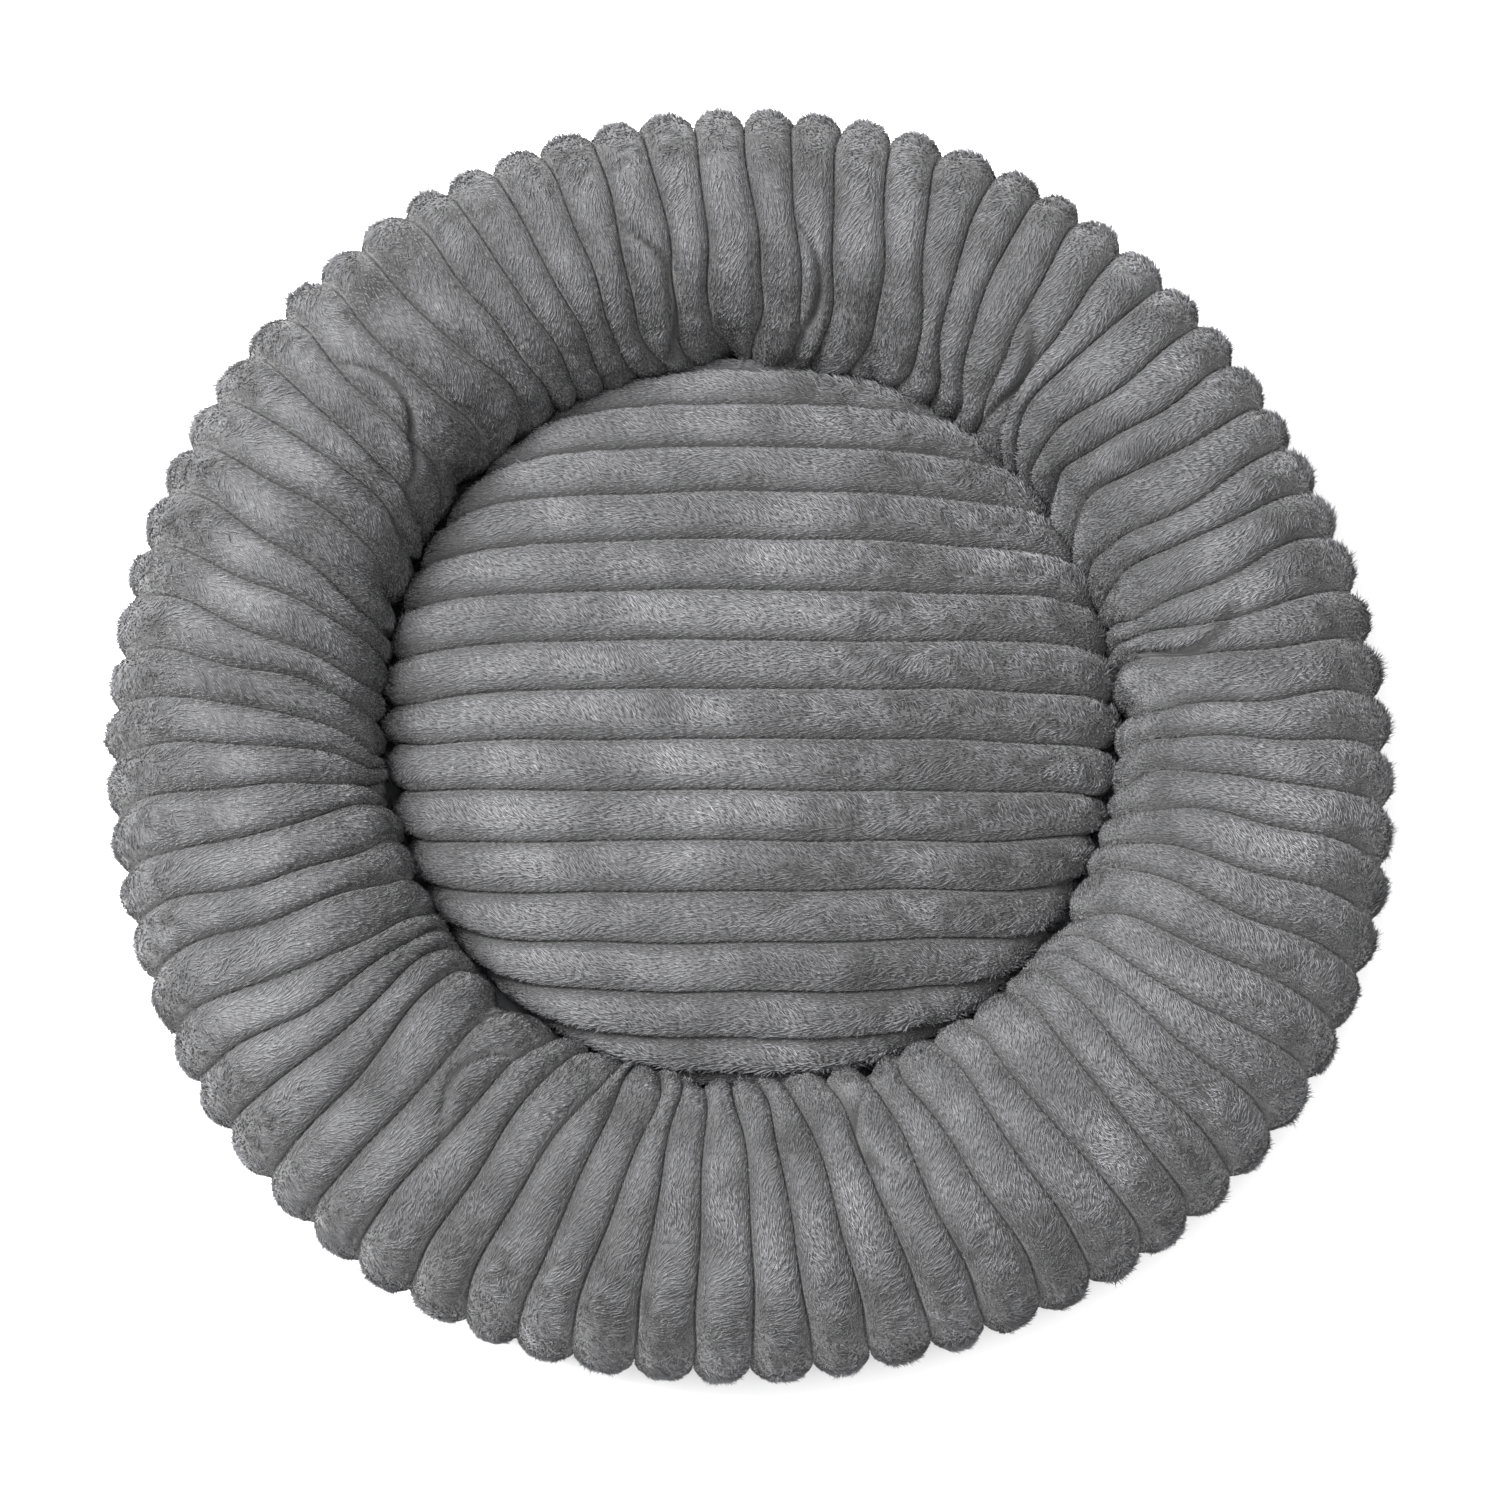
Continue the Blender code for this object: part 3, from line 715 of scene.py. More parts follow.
# %% Ribs across the cushion
CUSHION_RISE = 9.0 * MM
cut = read(bag.data, "cut", 3)
places, out = coordinates(bag.data), normals(bag.data)
gather = gathered(cut)
line = cut[:, 1] / CUSHION_RIB - RIB_PHASE
number = np.floor(line + 1e-3).astype(int)
across = np.clip(line - number, 0, 1)
flats = np.random.default_rng(5).uniform(0, 0.25, 64)
share = 1 - (1 - rib_profile(across)) * (1 - flats[number + 32] * gather)
wool = ramp(cut[:, 2], 0.0, 0.9)
lumps = 1.0 * MM * bumps(places, 14 * MM, 4) + 0.4 * MM * bumps(places, 7 * MM, 16)
rise = CUSHION_RISE * (1 + 0.4 * gather)
move_to(bag.data, places + out * (((share - 0.75) * rise + lumps) * wool)[:, None])
# share also sets painted shade: the knitted back and the pile are coloured darker where it is low
write(bag.data, "share", share)


# %% Press the cushion against the ring
CONTACT_GAP = 0.4 * MM


def pressed_against(piece, wall, gap):
    """Moves what reaches into a wall back to just in front of it, as soft cloths press together."""
    tree = BVHTree.FromPolygons(
        coordinates(wall.data).tolist(), [tuple(face.vertices) for face in wall.data.polygons]
    )
    places = coordinates(piece.data)
    deepest = moved = 0
    for index, place in enumerate(places):
        near, facing, _, _ = tree.find_nearest(Vector(place), 20 * MM)
        if near is None:
            continue
        clear = (Vector(place) - near).dot(facing)
        if clear < gap:
            places[index] = near + facing * gap
            moved, deepest = moved + 1, min(deepest, clear)
    move_to(piece.data, places)
    print("%s: %d points moved clear of %s, the deepest by %.1f mm" % (
        piece.name, moved, wall.name, -deepest / MM
    ))


pressed_against(bag, ring, CONTACT_GAP)


# %% Part the bag at its seam
def part_of(piece, name, body, slot_number):
    """The faces of one cloth of a bag, as a piece of its own."""
    mesh = bmesh.new()
    mesh.from_mesh(piece.data)
    bmesh.ops.delete(
        mesh, geom=[face for face in mesh.faces if face.material_index != slot_number], context="FACES"
    )
    for face in mesh.faces:
        face.material_index = 0
    return new_piece(name, mesh, body)


def thicken(piece, thickness):
    """Gives a cloth its thickness, inwards, and closes its edges."""
    keep_modifier(piece, "SOLIDIFY", thickness=thickness, offset=-1)
    piece.data.shade_smooth()


def coarser(piece, halvings):
    """Plain cloth needs fewer points than ribbed cloth: takes rows of them out again."""
    keep_modifier(piece, "DECIMATE", decimate_type="UNSUBDIV", iterations=halvings)


cushion = part_of(bag, "cushion_plush", "seat_cushion", TOP)
cushion_base = part_of(bag, "cushion_base_cloth", "seat_cushion", UNDER)
bpy.data.objects.remove(bag)
coarser(cushion_base, 2)
thicken(cushion_base, 1.2 * MM)
print("cushion plush:", len(cushion.data.polygons), "faces; base cloth:", len(cushion_base.data.polygons))

# %% [markdown]
# ## Material of the plush
# Rib plush is a polyester pile on a knitted back. Each hair is matt, and its colour holds painted shade: dark
# at its root, where little light reaches, and lighter at its tip. The pile is brushed this way and that, so
# broad patches look lighter or darker, and painted shade makes the flanks of the ribs darker and their crests
# lighter. The knitted back is painted dark as shade between the hairs, darkest in the grooves, where it shows
# as the dark line between two ribs.

# %% Plush material
def new_material(name, roughness, metallic=0.0, ior=1.5):
    made = bpy.data.materials.new(name)
    made.use_nodes = True
    shader = made.node_tree.nodes["Principled BSDF"]
    shader.inputs["Roughness"].default_value = roughness
    shader.inputs["Metallic"].default_value = metallic
    shader.inputs["IOR"].default_value = ior
    return made, made.node_tree, shader


def spread(tree, value, low, high, to_low, to_high):
    return add(tree, "ShaderNodeMapRange", inputs={
        "Value": value, "From Min": low, "From Max": high, "To Min": to_low, "To Max": to_high,
    }).outputs[0]


def scaled(tree, colour, level):
    return add(tree, "ShaderNodeVectorMath", {"operation": "SCALE"}, {0: colour, "Scale": level}).outputs[0]


def grain(tree, place, size, detail=2.0):
    """Noise whose lumps have this size in metres."""
    return add(tree, "ShaderNodeTexNoise", inputs={
        "Vector": place, "Scale": 1 / size, "Detail": detail,
    }).outputs["Fac"]


def raise_by(tree, shader, height, depth):
    bump = add(tree, "ShaderNodeBump", inputs={"Height": height, "Distance": depth, "Strength": 1.0})
    tree.links.new(bump.outputs[0], shader.inputs["Normal"])


def plush_material(name, low, high, attribute, middle):
    """low and high are its colours at 0 and 1 of the attribute, a painted shade from dark to light; middle is
    where it is half way. Patches of the pile and painted flank shade, read from another attribute, scale the
    colour.
    """
    made, tree, shader = new_material(name, 0.85, ior=1.54)  # polyester: 1.54, matt in a pile
    shader.inputs["Sheen Weight"].default_value = 0.2
    shader.inputs["Sheen Roughness"].default_value = 0.5
    place = add(tree, "ShaderNodeTexCoord").outputs["Object"]
    value = add(tree, "ShaderNodeAttribute", {"attribute_name": attribute}).outputs["Fac"]
    # brushed patches and curls, with painted shade on the flanks of the ribs
    patches_and_painted_shade = add(tree, "ShaderNodeAttribute", {"attribute_name": "tone_and_flank_shade"}).outputs["Fac"]
    fleck = spread(tree, grain(tree, place, 1.8 * MM), 0.3, 0.7, 0.66, 1.32)
    level = add(tree, "ShaderNodeMath", {"operation": "MULTIPLY"}, {0: patches_and_painted_shade, 1: fleck}).outputs[0]
    # painted shade: dark at 0 of the attribute, at a hair's root or in a groove, and light at 1
    share = spread(tree, value, 0.0, 2 * middle, 0.0, 1.0)
    colour = add(tree, "ShaderNodeMix", {"data_type": "RGBA"}, {0: share, 6: linear(low), 7: linear(high)})
    tree.links.new(scaled(tree, colour.outputs[2], level), shader.inputs["Base Color"])
    raise_by(tree, shader, grain(tree, place, 0.8 * MM, 3.0), 0.5 * MM)
    return made


# painted shade: the dark root of each hair, and the dark knitted back, darkest in the grooves
hair_plush_root_shade = plush_material("polyester pile", "121213", "7C7C80", "tip", 0.62)
back_plush_groove_shade = plush_material("knitted plush back, painted groove shade", "090909", "333334", "share", 0.3)
for piece in (ring, cushion):
    piece.data.materials.clear()
    piece.data.materials.append(back_plush_groove_shade)

# %% [markdown]
# ## The pile
# The pile is made of real hairs, each a slim three-sided spike as coarse as it needs to be to show,
# standing for a lock of finer fibres. They lie low, along the ribs or aslant, in locks a few
# millimetres wide. Geometry nodes scatter them on the ribbed cloth, lean them and turn them into
# plain mesh. None grow in the grooves. The ring's pile is made in sectors, so that no piece grows
# too heavy.

# %% Geometry nodes that scatter hairs
HAIR_LENGTH = 5.4 * MM
HAIR_WIDTH = 0.68 * MM
HAIR_LIFT = 0.32  # how much a hair stands up, against how much it lies
HAIRS_PER_M2 = 440000
MOST_HAIRS = 49000  # in one piece
LOCK_SIZE, LOCK_SWEEP = 7 * MM, 1.7  # of the locks that hairs lie in, and how far they are swept
STRAY = 0.22  # how far a single hair strays from its lock


def pile_group(density, seed):
    tree = bpy.data.node_groups.new("pile", "GeometryNodeTree")
    tree.interface.new_socket("Geometry", in_out="INPUT", socket_type="NodeSocketGeometry")
    tree.interface.new_socket("Geometry", in_out="OUTPUT", socket_type="NodeSocketGeometry")

    def vectors(operation, first, second):
        key = "Scale" if operation == "SCALE" else 1
        return add(tree, "ShaderNodeVectorMath", {"operation": operation}, {0: first, key: second}).outputs[0]

    def random(kind, low, high, offset):
        keys = (0, 1) if kind == "FLOAT_VECTOR" else (2, 3)
        node = add(tree, "FunctionNodeRandomValue", {"data_type": kind}, {
            keys[0]: low, keys[1]: high, "Seed": seed + offset,
        })
        return node.outputs[0 if kind == "FLOAT_VECTOR" else 1]

    start = add(tree, "NodeGroupInput")
    share = add(tree, "GeometryNodeInputNamedAttribute", {"data_type": "FLOAT"}, {"Name": "pile"})
    lay = add(tree, "GeometryNodeInputNamedAttribute", {"data_type": "FLOAT_VECTOR"}, {"Name": "lay"})
    amount = add(tree, "ShaderNodeMath", {"operation": "MULTIPLY"}, {0: share.outputs[0], 1: float(density)})
    spots = add(tree, "GeometryNodeDistributePointsOnFaces", inputs={
        "Mesh": start.outputs[0], "Density": amount.outputs[0], "Seed": seed,
    })
    place = add(tree, "GeometryNodeInputPosition").outputs[0]
    locks = add(tree, "ShaderNodeTexNoise", inputs={"Vector": place, "Scale": 1 / LOCK_SIZE, "Detail": 1.0})
    swept = vectors("SCALE", vectors("SUBTRACT", locks.outputs["Color"], (0.5, 0.5, 0.5)), LOCK_SWEEP)
    stray = random("FLOAT_VECTOR", (-STRAY,) * 3, (STRAY,) * 3, 100)
    along = vectors("ADD", vectors("ADD", lay.outputs[0], swept), stray)
    sunk = vectors("PROJECT", along, spots.outputs["Normal"])
    flat = vectors("SUBTRACT", along, sunk)
    grow = vectors("ADD", flat, vectors("SCALE", spots.outputs["Normal"], HAIR_LIFT))
    turn = add(tree, "FunctionNodeAlignRotationToVector", {"axis": "Z"}, {"Vector": grow})
    width = random("FLOAT", 0.7, 1.2, 300)
    full = add(tree, "GeometryNodeInputNamedAttribute", {"data_type": "FLOAT"}, {"Name": "share"}).outputs[0]
    shorter = add(tree, "ShaderNodeMath", {"operation": "MULTIPLY_ADD"}, {
        0: full, 1: 0.65, 2: 0.35,
    }).outputs[0]
    length = add(tree, "ShaderNodeMath", {"operation": "MULTIPLY"}, {
        0: random("FLOAT", 0.6, 1.3, 200), 1: shorter,
    }).outputs[0]
    size = add(tree, "ShaderNodeCombineXYZ", inputs={"X": width, "Y": width, "Z": length})
    hair = add(tree, "GeometryNodeMeshCone", {"fill_type": "NGON"}, {
        "Vertices": 3, "Radius Top": 0.0, "Radius Bottom": HAIR_WIDTH / 2, "Depth": HAIR_LENGTH,
    })
    height = add(tree, "ShaderNodeSeparateXYZ", inputs={"Vector": place})
    tip = add(tree, "ShaderNodeMath", {"operation": "DIVIDE"}, {0: height.outputs["Z"], 1: HAIR_LENGTH})
    marked = add(tree, "GeometryNodeStoreNamedAttribute", {"data_type": "FLOAT", "domain": "POINT"}, {
        "Geometry": hair.outputs[0], "Name": "tip", "Value": tip.outputs[0],
    })
    hairs = add(tree, "GeometryNodeInstanceOnPoints", inputs={
        "Points": spots.outputs["Points"], "Instance": marked.outputs[0],
        "Rotation": turn.outputs[0], "Scale": size.outputs[0],
    })
    real = add(tree, "GeometryNodeRealizeInstances", inputs={"Geometry": hairs.outputs[0]})
    smooth = add(tree, "GeometryNodeSetShadeSmooth", inputs={"Geometry": real.outputs[0]})
    add(tree, "NodeGroupOutput", inputs={0: smooth.outputs[0]})
    return tree


# %% Grow a pile on a skin
def map_hairs(mesh):
    """A UV map in which every hair has a cell of its own in a square grid."""
    count = len(mesh.vertices) // 4
    side = math.ceil(math.sqrt(count))
    tips = read(mesh, "tip")[:4] > 0.5
    corners = np.zeros((4, 2))
    corners[~tips] = ((0.05, 0.05), (0.5, 0.12), (0.95, 0.05))
    corners[tips] = (0.5, 0.95)
    vertex = np.empty(len(mesh.loops), dtype=np.int32)
    mesh.loops.foreach_get("vertex_index", vertex)
    hair = vertex // 4
    cell = np.stack([hair % side, hair // side], 1)
    layer = mesh.uv_layers.new(name="OFBake")
    layer.data.foreach_set("uv", ((cell + corners[vertex % 4]) / side).astype(np.float32).ravel())


def grow_pile(name, skin, body, where, lay, seed):
    """Hairs on a skin. where is the share of hairs at each vertex, lay the way they lean."""
    write(skin.data, "pile", where)
    write(skin.data, "lay", lay)
    modifier = skin.modifiers.new("Pile", "NODES")
    modifier.node_group = pile_group(HAIRS_PER_M2, seed)
    hairs = evaluated(skin)
    skin.modifiers.remove(modifier)
    hairs.name = name
    hairs.materials.clear()
    hairs.materials.append(hair_plush_root_shade)
    for attribute in [a.name for a in hairs.attributes if a.name in ("cut", "share", "pile", "lay", "UVMap")]:
        hairs.attributes.remove(hairs.attributes[attribute])
    grown = coordinates(hairs)
    grown[:, 2] = np.maximum(grown[:, 2], HAIR_WIDTH)  # those at the foot lie on the floor
    move_to(hairs, grown)
    map_hairs(hairs)
    placed(name, hairs, body)
    count = len(hairs.vertices) // 4
    print("%s: %d hairs%s" % (name, count, " TOO MANY" if count > MOST_HAIRS else ""))


# %% Lie of the pile, its patches and painted flank shade
def pile_tone_and_flank_shade(places, curled, share):
    """How light the pile's colour is: patches where it is combed this way and that, dark curls, and painted
    shade that makes the flanks of the ribs darker and their crests lighter.
    """
    patches = 1 + 0.75 * bumps(places, 38 * MM, 41) + 0.45 * bumps(places, 15 * MM, 42)
    # painted shade: the flanks of a rib darker, its crest lighter
    patches *= 0.36 + 0.77 * ramp(share, 0.35, 1.0)
    curls = ramp(bumps(places, 5.5 * MM, 43), -0.05, 0.30)
    curly = ramp(curled + 0.5 * bumps(places, 60 * MM, 44), 0.2, 0.7)
    return patches * (1.12 - 0.16 * curly - 0.66 * curls * curly)


def by_the_zip(cut, margin):
    """Which places of the clean ring lie between the zip's lips, or this far outside them."""
    along = from_zip_middle(cut) < ZIP_HALF_ARC
    outside = np.hypot(cut[:, 0], cut[:, 1]) > CREST_RADIUS
    return along & outside & (np.abs(cut[:, 2] - ZIP_HEIGHT) < ZIP_LIP + margin)


def along_ribs(out, across_rib):
    """The way along the ribs on a skin: square to its normals and to the way across the ribs."""
    way = np.cross(out, across_rib)
    return way / np.maximum(np.linalg.norm(way, axis=1, keepdims=True), 1e-6)


def lying(places, out, across_rib, share, sizes, slant, seed):
    """How the hairs lie: along the ribs and low on their flanks, and more aslant on top."""
    full = ramp(share, 0.5, 0.95)
    brush = bumps(places, sizes[0], seed)
    aslant = 1.3 * full * (slant + bumps(places, sizes[1], seed + 2))
    length = (2.4 - 1.4 * full + 0.5 * brush)[:, None]
    return along_ribs(out, across_rib) * length + across_rib * aslant[:, None]


# %% Pile of the ring
RING_SECTORS = 8
places, out = coordinates(ring.data), normals(ring.data)
cut = read(ring.data, "cut", 3)
around = np.arctan2(cut[:, 1], cut[:, 0])
over = over_the_ring(cut)
share = read(ring.data, "share")
covered = ramp(np.abs(over), math.radians(160), math.radians(145)) * ramp(share, 0.25, 0.55)
round_way = np.stack([-np.sin(around), np.cos(around), np.zeros(len(around))], 1)
lay = lying(places, out, round_way, share, (60 * MM, 35 * MM), 0.25, 12)
curled = ramp(over, 0.3, -0.9) * ramp(over, -1.6, -1.15)
lay *= (1 - 0.45 * curled)[:, None]
# brushed patches and curls, with painted shade on the flanks of the ribs
write(ring.data, "tone_and_flank_shade", pile_tone_and_flank_shade(places, curled, share))
bare = by_the_zip(cut, 1 * MM) | by_the_zip(places, 1 * MM)  # the stuffing shifts the cloth a little
covered *= ~bare * ramp(places[:, 2], 3 * MM, 5 * MM)
for sector in range(RING_SECTORS):
    middle = (sector + 0.5) / RING_SECTORS * 2 * math.pi
    inside = np.abs(angle_between(around, middle)) < math.pi / RING_SECTORS
    grow_pile("ring_pile_%d" % (sector + 1), ring, "bed", covered * inside, lay, sector)

# %% Pile of the cushion
places, out = coordinates(cushion.data), normals(cushion.data)
cut = read(cushion.data, "cut", 3)
share = read(cushion.data, "share")
covered = ramp(share, 0.25, 0.55)
lay = lying(places, out, np.array([0.0, 1.0, 0.0]), share, (50 * MM, 30 * MM), 0.3, 22)
curled = ramp(cut[:, 0], -60 * MM, 120 * MM)
lay *= (1 - 0.4 * curled)[:, None]
# brushed patches and curls, with painted shade on the flanks of the ribs
write(cushion.data, "tone_and_flank_shade", pile_tone_and_flank_shade(places, curled, share))
for side in range(2):
    half = (cut[:, 1] < 0) == bool(side)
    grow_pile("cushion_pile_%d" % (side + 1), cushion, "seat_cushion", covered * half, lay, 20 + side)

# %% [markdown]
# ## The opening for the zip
# The cover closes with a zip low in the rear wall. It lies in an opening of the plush: the pile ends
# at its two lips, and the tapes close it further in. The skin between the lips is pushed straight
# in, with upright sides, so the bag stays one closed surface.

# %% Opening for the zip
CHAIN_RADIUS = 285.9 * MM  # of the middle of the coil
CHAIN_LEAN = math.radians(14.5)  # the wall leans out with height
TRENCH = 5.2 * MM  # from the middle of the coil in to the back of the opening


def sink_zip(piece):
    """Pushes the skin between the zip's lips straight in, with upright sides all round."""
    mesh = bmesh.new()
    mesh.from_mesh(piece.data)
    cut = mesh.verts.layers.float_vector["cut"]
    middles = np.array([sum((v[cut] for v in face.verts), Vector()) / len(face.verts) for face in mesh.faces])
    region = [face for face, inside in zip(mesh.faces, by_the_zip(middles, 0)) if inside]
    made = bmesh.ops.extrude_face_region(mesh, geom=region)["geom"]
    floor_verts = [item for item in made if isinstance(item, bmesh.types.BMVert)]
    for vertex in floor_verts:
        around = math.atan2(vertex.co.y, vertex.co.x)
        height = min(max(vertex.co.z, ZIP_HEIGHT - ZIP_LIP), ZIP_HEIGHT + ZIP_LIP)
        radius = CHAIN_RADIUS - TRENCH + (height - ZIP_HEIGHT) * math.tan(CHAIN_LEAN)
        vertex.co = (radius * math.cos(around), radius * math.sin(around), vertex.co.z)
    bmesh.ops.delete(mesh, geom=region, context="FACES")
    bmesh.ops.recalc_face_normals(mesh, faces=mesh.faces)
    open_edges = sum(1 for edge in mesh.edges if len(edge.link_faces) != 2)
    mesh.to_mesh(piece.data)
    mesh.free()
    piece.data.shade_smooth()
    print("opening for the zip: %d verts sunk, %d open edges" % (len(floor_verts), open_edges))


sink_zip(ring)
for skin in (ring, cushion):
    for attribute in ("pile", "lay", "cut"):
        skin.data.attributes.remove(skin.data.attributes[attribute])
thicken(cushion, 1.2 * MM)

# %% [markdown]
# ## Inside the ring and the cushion
# The ring's fibre is held in an inner bag of spun-bonded cloth, so that the cover can be taken off
# through the zip. The cushion's fibre lies straight under its plush. All three are lumpy copies of
# the bags around them, a little smaller. They only show when the cover is opened or cut away.

# %% Fibre and inner bag
def lumpy(piece, size, depth, seed):
    """Pushes a soft piece's surface in and out in lumps of this size; its flat foot stays flat."""
    places, out = coordinates(piece.data), normals(piece.data)
    low = places[:, 2].min()
    free = ramp(places[:, 2], low + 0.5 * MM, low + 8 * MM)
    move_to(piece.data, places + out * ((depth * bumps(places, size, seed) - depth) * free)[:, None])


def inner_ring(name, inset, foot, size, depth, seed):
    piece = new_piece(name, spun_ring(inset, foot, 96, 14), "bed")
    move_to(piece.data, uneven(coordinates(piece.data)))
    refine(piece, 1)
    lumpy(piece, size, depth, seed)
    return piece


liner = inner_ring(
    "ring_liner_bag", inset=16 * MM, foot=ring_foot + 1 * MM, size=30 * MM, depth=0.8 * MM, seed=51
)
ring_fibre = inner_ring(
    "ring_fibre", inset=19 * MM, foot=ring_foot + 2.5 * MM, size=18 * MM, depth=1.0 * MM, seed=52
)
cushion_fibre = new_piece("cushion_fibre", round_bag(12 * MM), "seat_cushion")
lumpy(cushion_fibre, 18 * MM, 1.0 * MM, 53)
print("inside:", liner.name, ring_fibre.name, cushion_fibre.name)

# %% [markdown]
# ## The base
# The base is a round of plain woven cloth with rubber dots moulded on, which grip the floor. On it
# lies a round of wadding, and on that the lining that the cushion rests on. The two are only caught
# in the seam at their edge, so the lining is slightly puckered there.

# %% Base cloth
def turned(outline, columns):
    """A closed round piece made by spinning an outline that starts and ends on the axis."""
    mesh = bmesh.new()
    points = [mesh.verts.new((radius, 0, height)) for radius, height in outline]
    edges = [mesh.edges.new(pair) for pair in zip(points, points[1:])]
    bmesh.ops.spin(
        mesh, geom=points + edges, axis=(0, 0, 1), cent=(0, 0, 0),
        angle=2 * math.pi, steps=columns, use_merge=True,
    )
    bmesh.ops.remove_doubles(mesh, verts=mesh.verts, dist=1e-6)
    bmesh.ops.recalc_face_normals(mesh, faces=mesh.faces)
    return mesh


def soft_disc(radius, low, high, edge, rings):
    """The outline of a round pad with a rounded rim; edge is how far the rim curves in."""
    middle = (low + high) / 2
    top = [(radius - edge) * i / rings for i in range(rings + 1)]
    rim = [(radius - edge * 0.3, 0.85), (radius, 0.0), (radius - edge * 0.3, -0.85)]
    half = (high - low) / 2
    outline = [(r, high) for r in top] + [(r, middle + half * share) for r, share in rim]
    return outline + [(r, low) for r in reversed(top)]


DOT_RISE = 0.7 * MM  # the cloth lies this far above the floor, on its dots
BASE_TUCK = 8 * MM  # how far the base's edge is sewn in under the ring's pile
FOOT_FOLLOWS = 0.9  # how much of the ring's lobes the base's edge follows
base_radius = (base_high.x - base_low.x) / 2 - BASE_TUCK
floor_radius = (lining_high.x - lining_low.x) / 2
base_cloth = new_piece(
    "base_cloth", turned(soft_disc(base_radius, DOT_RISE, base_high.z, 1 * MM, 10), 192), "bed"
)
places = coordinates(base_cloth.data)  # its edge follows the foot of the uneven ring
around = np.arctan2(places[:, 1], places[:, 0])
places[:, :2] *= (1 + lobes(around) / BED_RADIUS * FOOT_FOLLOWS)[:, None]
move_to(base_cloth.data, places)

# %% Grip dots
DOT_PITCH = 14 * MM
DOT_RADIUS = 2.4 * MM
CLOTH_EDGE = 14 * MM  # kept free of dots
dot = bmesh.new()
bmesh.ops.create_uvsphere(
    dot, u_segments=6, v_segments=4, radius=1, matrix=Matrix.Diagonal((DOT_RADIUS, DOT_RADIUS, DOT_RISE, 1))
)
dot_seats = []
row_step = DOT_PITCH * math.sqrt(3) / 2
dot_rows = int(base_radius / row_step) + 1
for row in range(-dot_rows, dot_rows + 1):
    for column in range(-dot_rows, dot_rows + 1):
        x, y = (column + row % 2 / 2) * DOT_PITCH, row * row_step
        if math.hypot(x, y) > base_radius - CLOTH_EDGE:
            continue
        dot_seats.append(Matrix.Translation((x, y, DOT_RISE)))
grip_dots = repeated("grip_dots", dot, dot_seats, "bed")
grip_dots.data.shade_smooth()
print("grip dots:", len(dot_seats))

# %% Wadding and lining
pad_low, pad_high = (Vector(v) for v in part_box("base_pad"))
wadding = new_piece(
    "base_wadding", turned(soft_disc(floor_radius, pad_low.z, pad_high.z - 0.3 * MM, 6 * MM, 12), 120), "bed"
)
refine(wadding, 1)
lining = new_piece(
    "base_lining_cloth",
    turned(soft_disc(floor_radius, lining_low.z - 0.2 * MM, lining_high.z, 1.2 * MM, 24), 144), "bed",
)
refine(lining, 1)
for piece in (wadding, lining):
    places = coordinates(piece.data)
    around = np.arctan2(places[:, 1], places[:, 0])
    near_edge = ramp(np.hypot(places[:, 0], places[:, 1]), 0.55 * floor_radius, 0.97 * floor_radius)
    pucker = near_edge * np.sin(58 * around + 3 * np.sin(5 * around)) * 0.35
    soft = pucker + 0.45 * bumps(places * [1, 1, 0], 35 * MM, 61) - 0.6
    free = ramp(places[:, 2], pad_low.z + 1 * MM, pad_low.z + 8 * MM)
    places[:, 2] += 0.8 * MM * np.minimum(soft, 0) * free
    places[:, 1] += (lining_low.y + lining_high.y) / 2
    move_to(piece.data, places)

# %% [markdown]
# ## The zip
# The two rows of teeth are a nylon coil, which bends round the wall more easily than metal teeth.
# It is made of short bars that alternate from above and below and meet along the middle. The tapes,
# the stops, the slider and the pull keep their measured shapes and get a finish of their own.

# %% Coil of the zip
COIL_PITCH = 1.6 * MM
BAR = Vector((1.5, 0.85, 3.3)) * MM  # how thick, how wide along the chain, how high


def coil(name, side):
    """The bars of one half of the coil; side is 1 above and -1 below."""
    bar = bmesh.new()
    bmesh.ops.create_cube(bar, size=1, matrix=Matrix.Diagonal((*BAR, 1)))
    bmesh.ops.bevel(
        bar, geom=bar.edges[:], offset=0.3 * MM, offset_type="OFFSET", segments=1, profile=0.5,
        affect="EDGES", material=-1,
    )
    first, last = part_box("zip_bottom_stop"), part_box("zip_top_stop")
    start = math.acos(first[0][0] / CHAIN_RADIUS) + 2 * MM / CHAIN_RADIUS
    end = math.acos(last[1][0] / CHAIN_RADIUS) - 2 * MM / CHAIN_RADIUS
    seats = []
    for number in range(int((end - start) * CHAIN_RADIUS / COIL_PITCH)):
        angle = start + (number + (0.5 if side > 0 else 0.0)) * COIL_PITCH / CHAIN_RADIUS
        seats.append(
            Matrix.Rotation(angle, 4, "Z") @ Matrix.Translation((CHAIN_RADIUS, 0, ZIP_HEIGHT))
            @ Matrix.Rotation(CHAIN_LEAN, 4, "Y") @ Matrix.Translation((0, 0, side * 1.05 * MM))
        )
    print("%s: %d bars" % (name, len(seats)))
    return repeated(name, bar, seats, "bed")


coil_upper, coil_lower = coil("zip_coil_upper", 1), coil("zip_coil_lower", -1)
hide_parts("zip_teeth_upper")
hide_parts("zip_teeth_lower")

# %% [markdown]
# ## Materials of the other pieces
# The cloths are woven, so their bump is two crossing waves at the pitch of the real threads. The
# tape is a twill, whose waves run aslant. The fibre is a loft of fine hairs, drawn as fine noise.
# The metal is nickel-plated zinc, dulled a little where it was tumbled.

# %% Cloth, fibre, rubber, nylon and metal
def waves(tree, place, pitch, turn):
    """Straight ridges this far apart, their way turned about the vertical."""
    mapped = add(tree, "ShaderNodeMapping", inputs={"Vector": place, "Rotation": (0, 0, turn)}).outputs[0]
    return add(tree, "ShaderNodeTexWave", {"wave_type": "BANDS", "bands_direction": "X"}, {
        "Vector": mapped, "Scale": math.pi / 10 / pitch, "Distortion": 0.6, "Detail Scale": 2.0,
    }).outputs["Fac"]


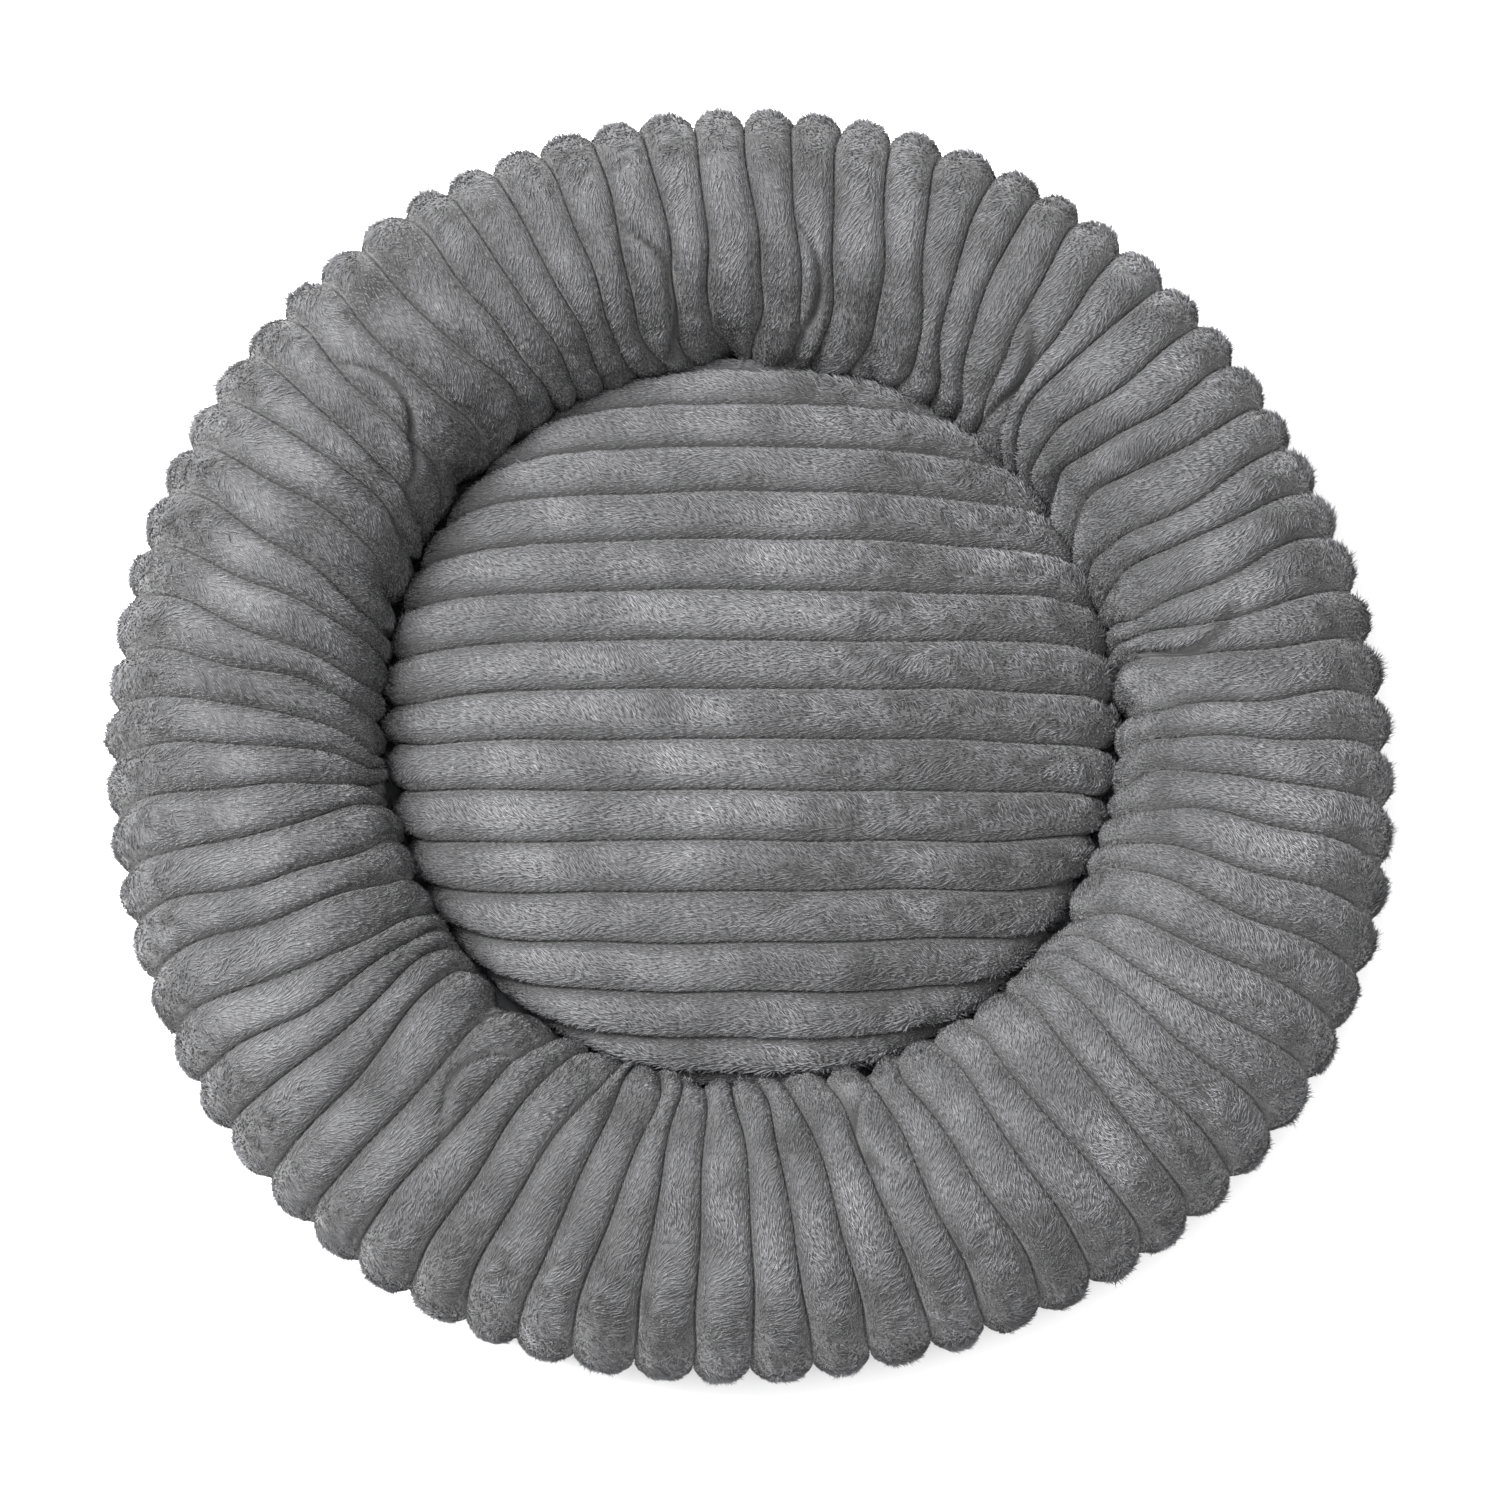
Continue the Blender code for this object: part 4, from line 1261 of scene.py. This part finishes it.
def woven(name, code, pitch, roughness, turns=(0.0, math.pi / 2), depth=0.15 * MM):
    """Plain or twill cloth: two sets of threads, a shade lighter where they cross on top."""
    made, tree, shader = new_material(name, roughness, ior=1.54)
    shader.inputs["Sheen Weight"].default_value = 0.15
    place = add(tree, "ShaderNodeTexCoord").outputs["Object"]
    warp, weft = (waves(tree, place, pitch, turn) for turn in turns)
    threads = add(tree, "ShaderNodeMath", {"operation": "MULTIPLY"}, {0: warp, 1: weft}).outputs[0]
    worn = spread(tree, grain(tree, place, 60 * MM, 3.0), 0.3, 0.7, 0.9, 1.08)
    level = add(tree, "ShaderNodeMath", {"operation": "MULTIPLY"}, {
        0: worn, 1: spread(tree, threads, 0.0, 1.0, 0.78, 1.15),
    }).outputs[0]
    tree.links.new(scaled(tree, linear(code)[:3], level), shader.inputs["Base Color"])
    raise_by(tree, shader, threads, depth)
    return made


def lofty(name, code, size, roughness=0.95):
    """Loose or bonded fibre: matt, with fine hairs drawn as noise."""
    made, tree, shader = new_material(name, roughness, ior=1.54)
    place = add(tree, "ShaderNodeTexCoord").outputs["Object"]
    fine = grain(tree, place, size, 4.0)
    level = spread(tree, fine, 0.3, 0.7, 0.86, 1.06)
    tree.links.new(scaled(tree, linear(code)[:3], level), shader.inputs["Base Color"])
    raise_by(tree, shader, fine, size / 2)
    return made


def hard(name, code, roughness, metallic, ior, size):
    """Moulded or cast parts: an even colour, with a roughness that varies as handling leaves it."""
    made, tree, shader = new_material(name, roughness, metallic, ior)
    place = add(tree, "ShaderNodeTexCoord").outputs["Object"]
    spots = grain(tree, place, size, 3.0)
    level = spread(tree, spots, 0.3, 0.7, 0.9, 1.05)
    tree.links.new(scaled(tree, linear(code)[:3], level), shader.inputs["Base Color"])
    rough = spread(tree, spots, 0.3, 0.7, roughness * 0.8, roughness * 1.25)
    tree.links.new(rough, shader.inputs["Roughness"])
    return made


finishes = {
    "lining_cloth": woven("plain woven polyester, dark grey", "5E5F61", 0.7 * MM, 0.8),
    "grip_cloth": woven("plain woven polyester, near black", "3B3B3D", 0.8 * MM, 0.85),
    "zip_tape": woven(
        "polyester twill tape", "54555A", 0.6 * MM, 0.75, (math.radians(35), math.radians(125))
    ),
    "liner_cloth": lofty("spun-bonded polypropylene", "DCDCDA", 1.2 * MM, 0.8),
    "fibre": lofty("hollow polyester fibre", "ECECEA", 0.9 * MM),
    "zip_nylon": hard("nylon coil", "4C4D50", 0.38, 0.0, 1.53, 4 * MM),
    "zip_metal": hard("nickel-plated zinc", "B9B8B4", 0.30, 1.0, 1.45, 2 * MM),
}
rubber = hard("moulded rubber", "2B2B2C", 0.6, 0.0, 1.52, 3 * MM)
for piece, slot in (
    (liner, "liner_cloth"), (ring_fibre, "fibre"), (cushion_fibre, "fibre"), (wadding, "fibre"),
    (cushion_base, "lining_cloth"), (lining, "lining_cloth"), (base_cloth, "grip_cloth"),
    (coil_upper, "zip_nylon"), (coil_lower, "zip_nylon"),
):
    piece.data.materials.clear()
    piece.data.materials.append(finishes[slot])
grip_dots.data.materials.append(rubber)
for node, slot in (
    ("zip_tape_upper", "zip_tape"), ("zip_tape_lower", "zip_tape"), ("zip_bottom_stop", "zip_metal"),
    ("zip_top_stop", "zip_metal"), ("zip_slider", "zip_metal"), ("zip_pull", "zip_metal"),
):
    kept = bpy.data.objects[node].data
    kept.materials.clear()
    kept.materials.append(finishes[slot])
print("finishes:", ", ".join(sorted(finishes)))

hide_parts("ring_cover")
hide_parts("ring_liner")
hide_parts("ring_filling")
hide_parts("cushion_top_cover")
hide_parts("cushion_underside")
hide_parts("cushion_filling")
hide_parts("base_panel")
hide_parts("base_pad")
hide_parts("base_lining")
